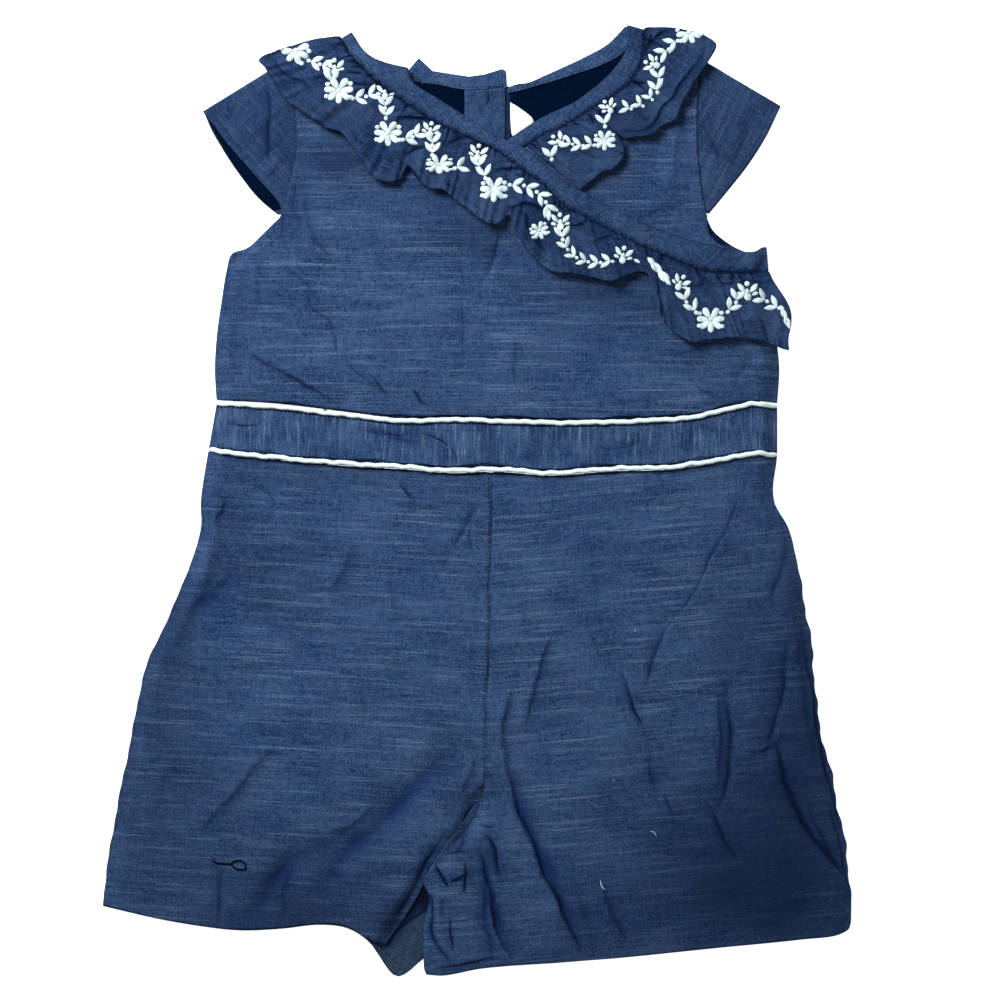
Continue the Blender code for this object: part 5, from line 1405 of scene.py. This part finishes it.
def makeWaist():
    upper, lower = seams["upperPiping"], seams["lowerPiping"]
    # painted shadow lines above the lower piping and below the upper one
    waist["creases"] += [seamShadowLine(lower, 1.7, 1.2), seamShadowLine(upper, -1.5, 0.6)]
    outline = stripOf(acrossOf(lower, lower[0][0], lower[-1][0], 0.8),
                      acrossOf(upper, upper[0][0], upper[-1][0], -0.8))
    front = addShell("waistbandFront", "waistband_front", waist["cells"],
                     panelPlace(outline, waistbandTop, 90, waistbandShade, 2.4), "waistband")
    sides = [tracedRow(movedRow(lower, 0, 1.2)), reversedRow(tracedRow(movedRow(upper, 0, -1.2)))]
    back = addCutPiece("waistbandBack", "waistband_back", sides, "waistband", grain=90)
    for name, row, seed, sway in (("Upper", upper, 51, 1), ("Lower", lower, 52, 1.7)):
        addPiping("pipingFront" + name, "piping_front_" + name.lower(), row, seed, sway)
        sides = [tracedRow(movedRow(row, 0, -1)), reversedRow(tracedRow(movedRow(row, 0, 1)))]
        flat = waist["backPiping"]
        addCutPiece("pipingBack" + name, "piping_back_" + name.lower(), sides, "piping", 4,
                    levelTop(flat, 3, 0.05), flat)


makeWaist()
print("waist made")

shorts = {
    "cells": (165, 215), "fine": 0.11, "broad": 0.40,
    # the right leg's inner edge, tucked under the left leg's
    "rightTucked": [
        (4.3, -131), (2, -145), (-3.5, -155), (-13, -168), (-23, -183), (-26.5, -190.5), (-23.5, -197.6),
        (-24.8, -204.6), (-26.2, -211), (-26.7, -227), (-26.3, -234.2), (-25.2, -236.4),
    ],
    # path, height, left width, right width, painted shade line, soft painted shade
    "leftCreases": [
        ([(-9.5, -121.8), (-27, -140), (-45, -158.3), (-63.5, -174), (-78.5, -198.8)], -2.4, 9, 8, 0, 0.85),
        ([(-91, -171.3), (-101, -192), (-113.5, -209.8)], -1.8, 8, 6, 0, 0.4),
        ([(-102.5, -120.3), (-125, -148), (-140.5, -163.3)], 1.4, 3, 9, 0.15, 0.35),
        ([(-118.5, -33.8), (-131, -46), (-145.5, -57.8)], -1.2, 9, 6, 0.1, 0.6),
        ([(-62.5, -20.8), (-67, -32), (-75, -44.8)], 0.9, 3, 7, 0.15, 0.5),
        ([(-40, 9.3), (-35, 2), (-30.5, -0.8)], 1.0, 1.5, 5, 0.6, 0.25),
        ([(-1.5, -1.8), (-5, -12), (-11, -22.8)], -1.2, 2, 5, 0.6, 0.4),
        ([(-15.8, -164.6), (-21.4, -173.7), (-28.4, -187.7), (-32.6, -194.8),
          (-40.3, -207.4)], -1.6, 3, 3.5, 0.8, 0.8),
        ([(1.5, -150.5), (-4, -154.5), (-6.5, -160), (-6.5, -163.5)], -0.8, 1.5, 1.5, 1.2, 0.3),
        ([(3, -150), (-1, -158), (-7, -166), (-15, -176)], 0.5, 1, 2, 0.7, 0),
        ([(-2, -126), (-5, -138), (-10, -148)], 0.9, 3, 5, 0.25, 0.3),
        ([(-52, -168), (-64, -190), (-78, -206)], 0.8, 6, 5, 0, 0.2),
        ([(-129, -9), (-136, -40), (-152, -72)], 1.2, 3, 8, 0, 0.25),
        ([(-100, -40), (-128, -60)], 0.4, 9, 12, 0, 0.15),
        ([(-60, -70), (-72, -90), (-90, -110)], 0.35, 14, 12, 0, 0.08),
        ([(-150, -120), (-162, -150), (-168, -180)], 0.6, 6, 10, 0, 0.2),
        ([(-46, -38), (-40, -60)], 0.5, 3, 8, 0.1, 0.25), ([(-20, -60), (-30, -90)], 0.4, 7, 9, 0, 0.12),
        ([(-135, 8), (-127, -1), (-133, -12)], 0.9, 1.5, 4, 0.35, 0.4),
        ([(-127, -2), (-108, -3)], -0.5, 3, 5, 0, 0.3), ([(-110, -80), (-124, -104)], -0.5, 8, 8, 0, 0.15),
        ([(-112, 9), (-104, 4), (-100, -4)], -0.5, 2, 3, 0.3, 0.2),
        ([(-2.5, -6), (-3, -18), (-1, -30)], -0.5, 1.5, 2, 0.3, 0.2),
        ([(-34, -6), (-18, -2), (0, -4)], -0.5, 2, 3, 0.2, 0.25),
        ([(-127, -182), (-127.5, -195), (-129, -209)], -0.7, 2.5, 4, 0.35, 0.5),
        ([(-60, -160), (-76, -172), (-92, -181), (-104, -194), (-108, -206)], -1.3, 8, 6, 0, 0.5),
        ([(-50, -150), (-62, -160), (-74, -164)], 0.6, 2, 5, 0.25, 0.2),
        ([(-92, -182), (-98, -194), (-96, -206)], 0.6, 2, 5, 0.25, 0.2),
    ],
    # patches of painted shade, and of painted light where the depth is below zero
    "leftShadePatches": [
        (-165, -165, 42, 60, 0.26), (-158, -70, 18, 56, 0.26), (-126, -9, 16, 26, 0.24),
        (-70, -188, 34, 26, 0.2), (-92, -206, 34, 18, 0.30), (-100, 14, 60, 7, 0.2), (-30, 8, 60, 6, 0.12),
        (-42, -210, 9, 11, 0.6), (-100, -196, 60, 26, 0.12), (-12, -136, 10, 26, 0.15),
        (-152, -46, 16, 34, 0.2), (-101, -32, 24, 20, 0.16), (-160, -112, 34, 44, 0.14),
        (-118, -194, 44, 26, 0.13), (-108, -212, 36, 9, 0.2), (-101, -38, 28, 36, 0.11),
        (-151, -48, 16, 26, 0.13), (-72, -50, 18, 20, 0.06), (-128, -138, 22, 18, 0.08),
        (-178, -140, 12, 22, 0.1), (-62, -162, 26, 16, 0.09), (-178, -192, 14, 16, 0.08),
        (-26, -36, 12, 14, -0.08),
    ],
    "rightCreases": [
        ([(140.5, 19.3), (129, -5), (116.5, -29.8), (106.5, -50.3), (96.5, -60.3),
          (86, -89.3)], 1.5, 8, 1.6, 0.7, 0.4),
        ([(134, 4), (124, -20)], -0.6, 3, 4, 0, 0.3),
        ([(93, -66), (87, -80), (84, -92)], -0.8, 2.5, 3, 0.5, 0.5),
        ([(153.5, -21.3), (151, -36), (146, -50.3)], -1.0, 3, 6, 0.4, 0.6),
        ([(150, 4), (146, -20)], -0.6, 3, 5, 0, 0.3),
        ([(155.5, -67.3), (150.5, -104.3), (143.5, -126.3)], -1.3, 2, 8, 0.45, 0.6),
        ([(160, -56), (163, -96), (170, -134)], -0.8, 4, 3, 0.15, 0.5),
        ([(160, -62), (165, -90), (169, -116), (175, -144), (180, -166)], 0.7, 2, 3, 0.5, 0.4),
        ([(150, -118), (142, -124), (134, -123)], 0.6, 2, 3, 0.4, 0.3),
        ([(176, -150), (181, -172), (184.5, -192)], 0.5, 2, 2, 0.4, 0.3),
        ([(148, -121.3), (157, -148.3), (169, -170.3), (184, -186.8)], -1.5, 5, 3, 0.8, 0.6),
        ([(72, -83.8), (78, -99.3), (84.5, -112.8)], 1.6, 6, 1.6, 0.9, 0.6),
        ([(87, -124.3), (88.5, -141.3)], 1.0, 5, 1.6, 0.5, 0.4),
        ([(84.5, -113), (88, -128), (89, -146), (92, -158)], -0.6, 4, 3, 0, 0.3),
        ([(94.5, -144.8), (99.5, -156.8)], 0.8, 3, 2, 0.4, 0.3),
        ([(116.5, -149.8), (122, -162), (128.5, -176.8)], 1.0, 5, 1.6, 0.45, 0.4),
        ([(124, -87.3), (126, -117.8), (123.5, -144.8), (120, -154.8)], -1.2, 3, 6, 0.6, 0.65),
        ([(118.5, -95), (120.5, -118), (118.5, -140)], 0.6, 2, 4, 0.4, 0.3),
        ([(58.5, -61.8), (62.5, -80.8)], 0.7, 4, 2, 0.4, 0.35),
        ([(37, -64), (31, -80.8), (26, -100.8), (22, -112.8)], 1.1, 2, 8, 0.5, 0.4),
        ([(18, -50), (25, -62), (34, -72)], 0.7, 3, 6, 0.1, 0.25),
        ([(16, -90), (13.5, -104), (12, -118), (14.5, -130)], 1.0, 2, 5, 0.5, 0.4),
        ([(12.5, -125), (16.5, -142.3), (18, -151.3), (20.7, -158), (24.5, -166), (29.5, -176.5), (33.5, -188),
          (38.5, -197), (42.5, -208), (51, -226)], 2.0, 1.8, 7, 1.0, 0.5),
        ([(17, -134), (22, -152), (27, -166), (33, -178), (38.5, -190), (44, -203),
          (51, -220)], -1.5, 5.5, 3, 0, 0.85),
        ([(40, -178), (49, -198), (58, -224)], 0.8, 4, 5, 0.15, 0.3),
        ([(-2.5, -174.4), (1.7, -177.9), (2.4, -183.5), (5.2, -193.4), (6, -205.3), (9.4, -215.1),
          (13.7, -223.5), (16.5, -228.4)], 1.6, 1.8, 5, 1.0, 0.6),
        ([(7.5, -188), (10, -204), (14, -216), (20, -228)], -1.0, 3, 2, 0.2, 0.7),
        ([(0.8, -177), (3, -185.5), (3.6, -192), (4.8, -199), (4.4, -209), (6, -219),
          (7.5, -229)], -1.3, 3.4, 4, 0.4, 0.9),
        ([(3.5, -165), (8.8, -170.2), (11.2, -178), (13.5, -189)], 1.2, 5, 1.6, 1.0, 0.7),
        ([(1.8, -161.1), (9.5, -162.5)], -0.5, 1.5, 1.5, 0.6, 0.3),
        ([(2, -141), (9, -137), (15, -139)], 0.5, 1.5, 2, 0.25, 0.2),
        ([(-19.5, -181.5), (-16, -186), (-12.4, -190.6)], 1.1, 3, 2, 1.5, 0.4),
        ([(-13, -189.4), (-9.6, -186.6), (-6.7, -184.6)], 0.9, 3, 1.6, 1.0, 0.4),
        ([(-7.4, -180.5), (-6.1, -184.3), (-7.5, -195)], 0.9, 1.6, 3, 1.2, 0.4),
        ([(-15, -177), (-10, -175), (-4, -174.5)], -0.6, 1.5, 1.5, 0.5, 0.4),
        ([(-12, -171), (-7, -166), (-2, -158)], -0.6, 2, 2, 0.5, 0.5),
        ([(-9, -176), (-6, -171), (-5, -166)], 0.6, 1.5, 2, 0.4, 0.3),
        ([(-22, -196), (-21.2, -206), (-20.6, -215), (-15.1, -225), (-11.6, -229.9)], 1.0, 3, 2, 0.8, 0.8),
        ([(-17, -197), (-18.5, -208)], -0.7, 2, 2, 0.3, 0.5), ([(1, -152), (-4, -160)], -0.5, 1.5, 2, 0.4, 0.3),
        ([(-13.2, -206), (-12.2, -216.5), (-11.8, -224)], -0.8, 2, 2.5, 0.9, 0.5),
        ([(-22, -195), (-21, -206)], 0.5, 2, 1.5, 0.4, 0.2),
        ([(-22.1, -231.9), (-15.1, -230.9), (-7.4, -229.3), (3.2, -227.2),
          (12.3, -227)], 0.7, 1.5, 1.2, 0.7, 0.3),
        ([(61, -192.3), (66, -206), (72.5, -219.3)], 1.0, 2, 6, 0.45, 0.35),
        ([(162, -150), (170, -168), (176, -184)], 1.0, 4, 5, 0.2, 0.2),
        ([(50, -20), (58, -60)], 0.35, 10, 12, 0, 0.1), ([(90, -20), (80, -60)], 0.35, 12, 10, 0, 0.1),
        ([(100, -180), (110, -215)], 0.4, 8, 10, 0, 0.15), ([(140, -190), (150, -214)], 0.5, 8, 8, 0, 0.15),
        ([(64, -140), (72, -170)], -0.5, 6, 8, 0, 0.2), ([(6, -132), (12, -146)], 0.7, 3, 2, 0.3, 0.2),
        ([(38, -10), (30, -30)], 0.5, 4, 8, 0, 0.15),
    ],
    # patches of painted shade, and of painted light where the depth is below zero
    "rightShadePatches": [
        (118, -205, 66, 46, 0.50), (165, -140, 26, 62, 0.42), (168, -186, 40, 40, 0.20),
        (124, -150, 28, 40, 0.18), (163, -40, 11, 40, 0.30), (60, 9, 90, 4, 0.05), (7, -172, 5, 9, 0.4),
        (85, -150, 40, 40, 0.06), (72, -47, 36, 24, -0.38), (20, -234, 60, 9, 0.25), (49, -212, 14, 20, 0.25),
        (-8, -176, 9, 12, 0.25), (2, -214, 16, 18, 0.12), (152, -112, 34, 70, 0.22), (100, -162, 36, 32, 0.15),
        (128, -64, 18, 20, 0.2), (130, -204, 60, 26, 0.12), (-10, -190, 20, 40, 0.12), (0, -238, 60, 10, 0.2),
        (70, 6, 40, 12, -0.12), (150, -50, 14, 24, 0.14), (126, -64, 14, 16, 0.12), (160, -112, 24, 14, 0.14),
        (82, -128, 24, 18, 0.11), (150, -140, 18, 12, 0.1), (112, -165, 26, 20, 0.08),
        (124, -190, 16, 14, 0.08), (165, -212, 26, 12, 0.1), (58, -214, 26, 12, 0.07), (24, -237, 16, 7, 0.14),
    ],
    "backCreases": [
        ([(-24, -186), (-29.8, -198.3), (-36.5, -209), (-46, -223)], 0, 5, 5, 1.2, 0.5),
        ([(-23, -203.9), (-33.4, -209.5), (-42.5, -219.5)], 0.5, 1.5, 1.2, 0.9, 0.2),
        ([(-27, -208), (-30, -222), (-37, -234)], 0.3, 4, 4, 0, 0.1),
    ],
    # patches of painted shade, and the painted shadow under the left front leg's edge
    "backShadePatches": [
        (-40, -220, 40, 40, 0.12), (-26.5, -197, 3.5, 6, 1.0), (-25, -201, 2.5, 4, 0.6),
        (-25, -189, 4.5, 6, 0.9), (-29, -197, 4.5, 6, 0.9), (-33.5, -204, 4, 5, 0.8), (-38, -211, 3.5, 5, 0.7),
        (-43, -218, 3, 5, 0.5),
    ],
}


def shortsTop(creases, seed):
    def top(x, y):
        above = np.maximum(0, y - legEdges[0][0])
        leftLeg = x < (leftInseamAt(y) + rightInseamAt(y)) / 2
        inner = np.where(leftLeg, leftInseamAt(y) - x, x - rightInseamAt(y))
        outer = np.where(leftLeg, x - leftSideAt(y), rightSideAt(y) - x)
        edge = smoothStep(np.minimum(outer, inner + above) / layers["sideRamp"])
        share = np.minimum(np.abs(outer - inner) / np.maximum(outer + inner, 1), 1)
        legPuff = 1 - share ** 4
        puff = legPuff + (bodyPuff(x, y) - legPuff) * smoothStep(above / 60)
        fine = rippleField(x, y, seed, 8, 2.4, 82) * shorts["fine"]
        fine = fine + rippleField(x, y, seed + 1, 28, 1.6, 75) * shorts["broad"]
        height = layers["seamTop"] + layers["shortsRise"] * edge + layers["puff"] * puff
        return np.maximum(height + (creaseFields(x, y, creases)[0] + fine) * edge, layers["seamTop"])
    return top


def upTheSide(sideAt, low, high, seed, size):
    # a leg's side seam, which wavers a little between the hip and the hem
    def placeAt(share):
        y = low + (high - low) * np.asarray(share)
        fade = size * smoothStep((-15 - y) / 40) * smoothStep((y + 206) / 20)
        waver = 0.45 * np.sin(y * 0.19 + seed) + 0.3 * np.sin(y * 0.53 + 2 * seed) + 0.4 * np.sin(y * 0.08)
        return np.stack([sideAt(y) + fade * waver, y], axis=-1)
    return placeAt


def legPlace(outline, side, seed, grain):
    creases = shorts[side + "Creases"]
    return panelPlace(outline, shortsTop(creases, seed), grain, paintedShadeOn(creases, shorts[side + "ShadePatches"]))


def makeShorts():
    lower, centre = seams["lowerPiping"], seams["centreSeam"]
    # painted shadow lines below the lower piping and along the centre seam
    for side, shift, dark in (("left", -0.3, 0.5), ("right", 0.1, 0.4)):
        shorts[side + "Creases"] += [seamShadowLine(lower, -1.7, 0.8),
                                     (movedRow(centre, shift, 0), -0.3, 1, 1, dark, 0.1)]
    leftCentre, rightCentre = movedRow(centre, 0.2, 0), movedRow(centre, -0.15, 0)
    leftTop = acrossOf(lower, lower[0][0], leftCentre[0][0], -0.9)
    rightTop = acrossOf(lower, rightCentre[0][0], lower[-1][0], -0.9)
    leftHip = upTheSide(leftSideAt, seams["leftHem"][0][1], leftTop(0.0)[1], 0.6, 0.5)
    rightHip = upTheSide(rightSideAt, seams["rightHem"][-1][1], rightTop(1.0)[1], 2.2, 1.2)
    outline = patchOf(leftTop, curveOf(seams["leftHem"]), leftHip,
                      curveOf(reversedRow(seams["leftInseam"]), reversedRow(leftCentre)))
    left = addShell("shortsFrontLeft", "shorts_front_left", shorts["cells"], legPlace(outline, "left", 61, -3))
    outline = patchOf(rightTop, curveOf(seams["rightHem"]),
                      curveOf(reversedRow(shorts["rightTucked"]), reversedRow(rightCentre[:-1])), rightHip)
    right = addShell("shortsFrontRight", "shorts_front_right", shorts["cells"], legPlace(outline, "right", 63, 5))

    waistRow = tracedRow(movedRow(lower, 0, -1.2))
    leftWaist = [p for p in waistRow if lower[0][0] < p[0] < leftCentre[0][0] - 2]
    rightWaist = [p for p in waistRow if rightCentre[0][0] + 2 < p[0] < lower[-1][0]]
    inner = movedRow(seams["rightInseam"][:-2], -0.2, 0)
    leftEdge, rightEdge = [[tuple(hip(share)) for share in np.linspace(0, 1, 50)] for hip in (leftHip, rightHip)]
    sides = [tracedRow(seams["leftBackHem"]), reversedRow(tracedRow(inner))[1:-1],
             reversedRow(tracedRow(leftCentre)), reversedRow(leftWaist), reversedRow(leftEdge)[:-1]]
    seen = shorts["backCreases"]
    back = addCutPiece("shortsBackLeft", "shorts_back_left", sides, "legBack", 2.6, grain=65,
                        top=lambda x, y: backTop(x, y) + creaseFields(x, y, seen)[0],
                        shadeAt=paintedShadeOn(seen, shorts["backShadePatches"]))
    sides = [tracedRow(seams["rightHem"]), rightEdge[1:], reversedRow(rightWaist), tracedRow(rightCentre),
             tracedRow(seams["rightInseam"])[1:-1]]
    back = addCutPiece("shortsBackRight", "shorts_back_right", sides)


makeShorts()
print("shorts made")

# stitches, a loose loop of thread and lint
sewing = {
    # moved rows of points, the pieces below, the pitch, and the length, width and height of a stitch
    "rows": {
        "stitchesWaist": ([("upperPiping", 0, -1.85)], ["waistbandFront"], 2.0, (1.35, 0.8, 0.3)),
        "stitchesPiping": ([("lowerPiping", 0, 1.6)], ["waistbandFront"], 2.15, (1.6, 0.9, 0.35)),
        "stitchesNeck": ([("overSeam", 0.7, 1.3), ("underSeam", -0.6, 1.2)], ["neckBandOver", "neckBandUnder"],
                         2.15, (1.2, 0.4, 0.12)),
        "stitchesBack": ([("facingEdge", 0, 0), ("backSeamLeft", 0, 1.1), ("backSeamRight", 0, 1.1)],
                         ["placketFacing", "neckBandBackLeft", "neckBandBackRight"], 2.15, (1.1, 0.4, 0.12)),
        "stitchesCentre": ([("centreTop", -1.2, 0)], ["shortsFrontLeft", "shortsFrontRight"],
                           2.0, (1.1, 0.35, 0.12)),
    },
    "facingEdge": [(12.6, 213.6), (13, 200), (12.9, 182)], "loopRadius": 0.45,
    "loop": [
        (-131.7, -178.6), (-130, -179.7), (-126.7, -180.2), (-122.8, -180.4), (-121.1, -179.3),
        (-117.5, -178.9), (-115.6, -180.4), (-115.2, -182.9), (-117.2, -183.2), (-119.8, -182.9),
        (-122.4, -180.8),
    ],
    "lint": [
        ([(61.4, -188.3), (61.8, -190.7), (62.7, -192.3), (63.9, -193.4)], 0.30),
        ([(86.3, -164), (88.2, -164.8), (89.6, -166.9)], 0.2), ([(78.6, -64), (79.3, -64.8)], 0.2),
        ([(67.8, -138.4), (68.3, -139.4)], 0.2),
    ],
}


def addStitches(name, rows, surfaces, pitch, size):
    # small raised stitches along rows of points
    length, width, height = size
    lumps = []
    for row in rows:
        lineAt, span = lineThrough(row)
        shares = (np.arange(int(span / pitch)) + 0.5) * pitch / span
        for (x, y), (x2, y2) in zip(lineAt(shares), lineAt(shares + 0.2 / span)):
            z = topOn(surfaces, x, y)
            if z is not None:
                lumps.append((x, y, z, math.atan2(y2 - y, x2 - x)))
    mesh, order, flat = roundCopies(name, len(lumps), 6, 4)
    x, y, z, turn = [column[:, None] for column in np.array(lumps).T]
    a, b = flat[:, :, 2] * length / 2, flat[:, :, 0] * width / 2
    spots = np.stack([x + a * np.cos(turn) - b * np.sin(turn), y + a * np.sin(turn) + b * np.cos(turn),
                      z + flat[:, :, 1] * height], axis=-1)
    setCopies(mesh, order, spots, np.stack([a, b], axis=-1))
    addPiece(name, mesh, "stitch")


def addLooseThread(name, row, surfaces, lift, steps, radius, sides, finish):
    # a cord that lies on the surfaces below
    spots = lineThrough(row)[0](np.linspace(0, 1, steps))
    heights = [(topOn(surfaces, x, y) or 0) + lift for x, y in spots]
    addCord(name, np.column_stack([spots, heights]), radius, sides, finish)


def makeSewing():
    rows = {**seams, "facingEdge": sewing["facingEdge"], "centreTop": seams["centreSeam"][:-1]}
    for name, (lines, below, pitch, size) in sewing["rows"].items():
        moved = [movedRow(rows[row], dx, dy) for row, dx, dy in lines]
        addStitches(name, moved, [surfaceOf(item) for item in below], pitch, size)
    legs = [surfaceOf("shortsFrontLeft"), surfaceOf("shortsFrontRight")]
    radius = sewing["loopRadius"]
    addLooseThread("threadLoop", sewing["loop"], legs, radius * 0.7, 90, np.full(90, radius), 8, "stitch")
    for number, (row, radius) in enumerate(sewing["lint"]):
        tapered = radius * (0.3 + 0.7 * np.sin(np.linspace(0, np.pi, 16)))
        addLooseThread("lint" + "ABCD"[number], row, legs, radius * 0.6, 16, tapered, 6, "lint")


makeSewing()
print("sewing made")
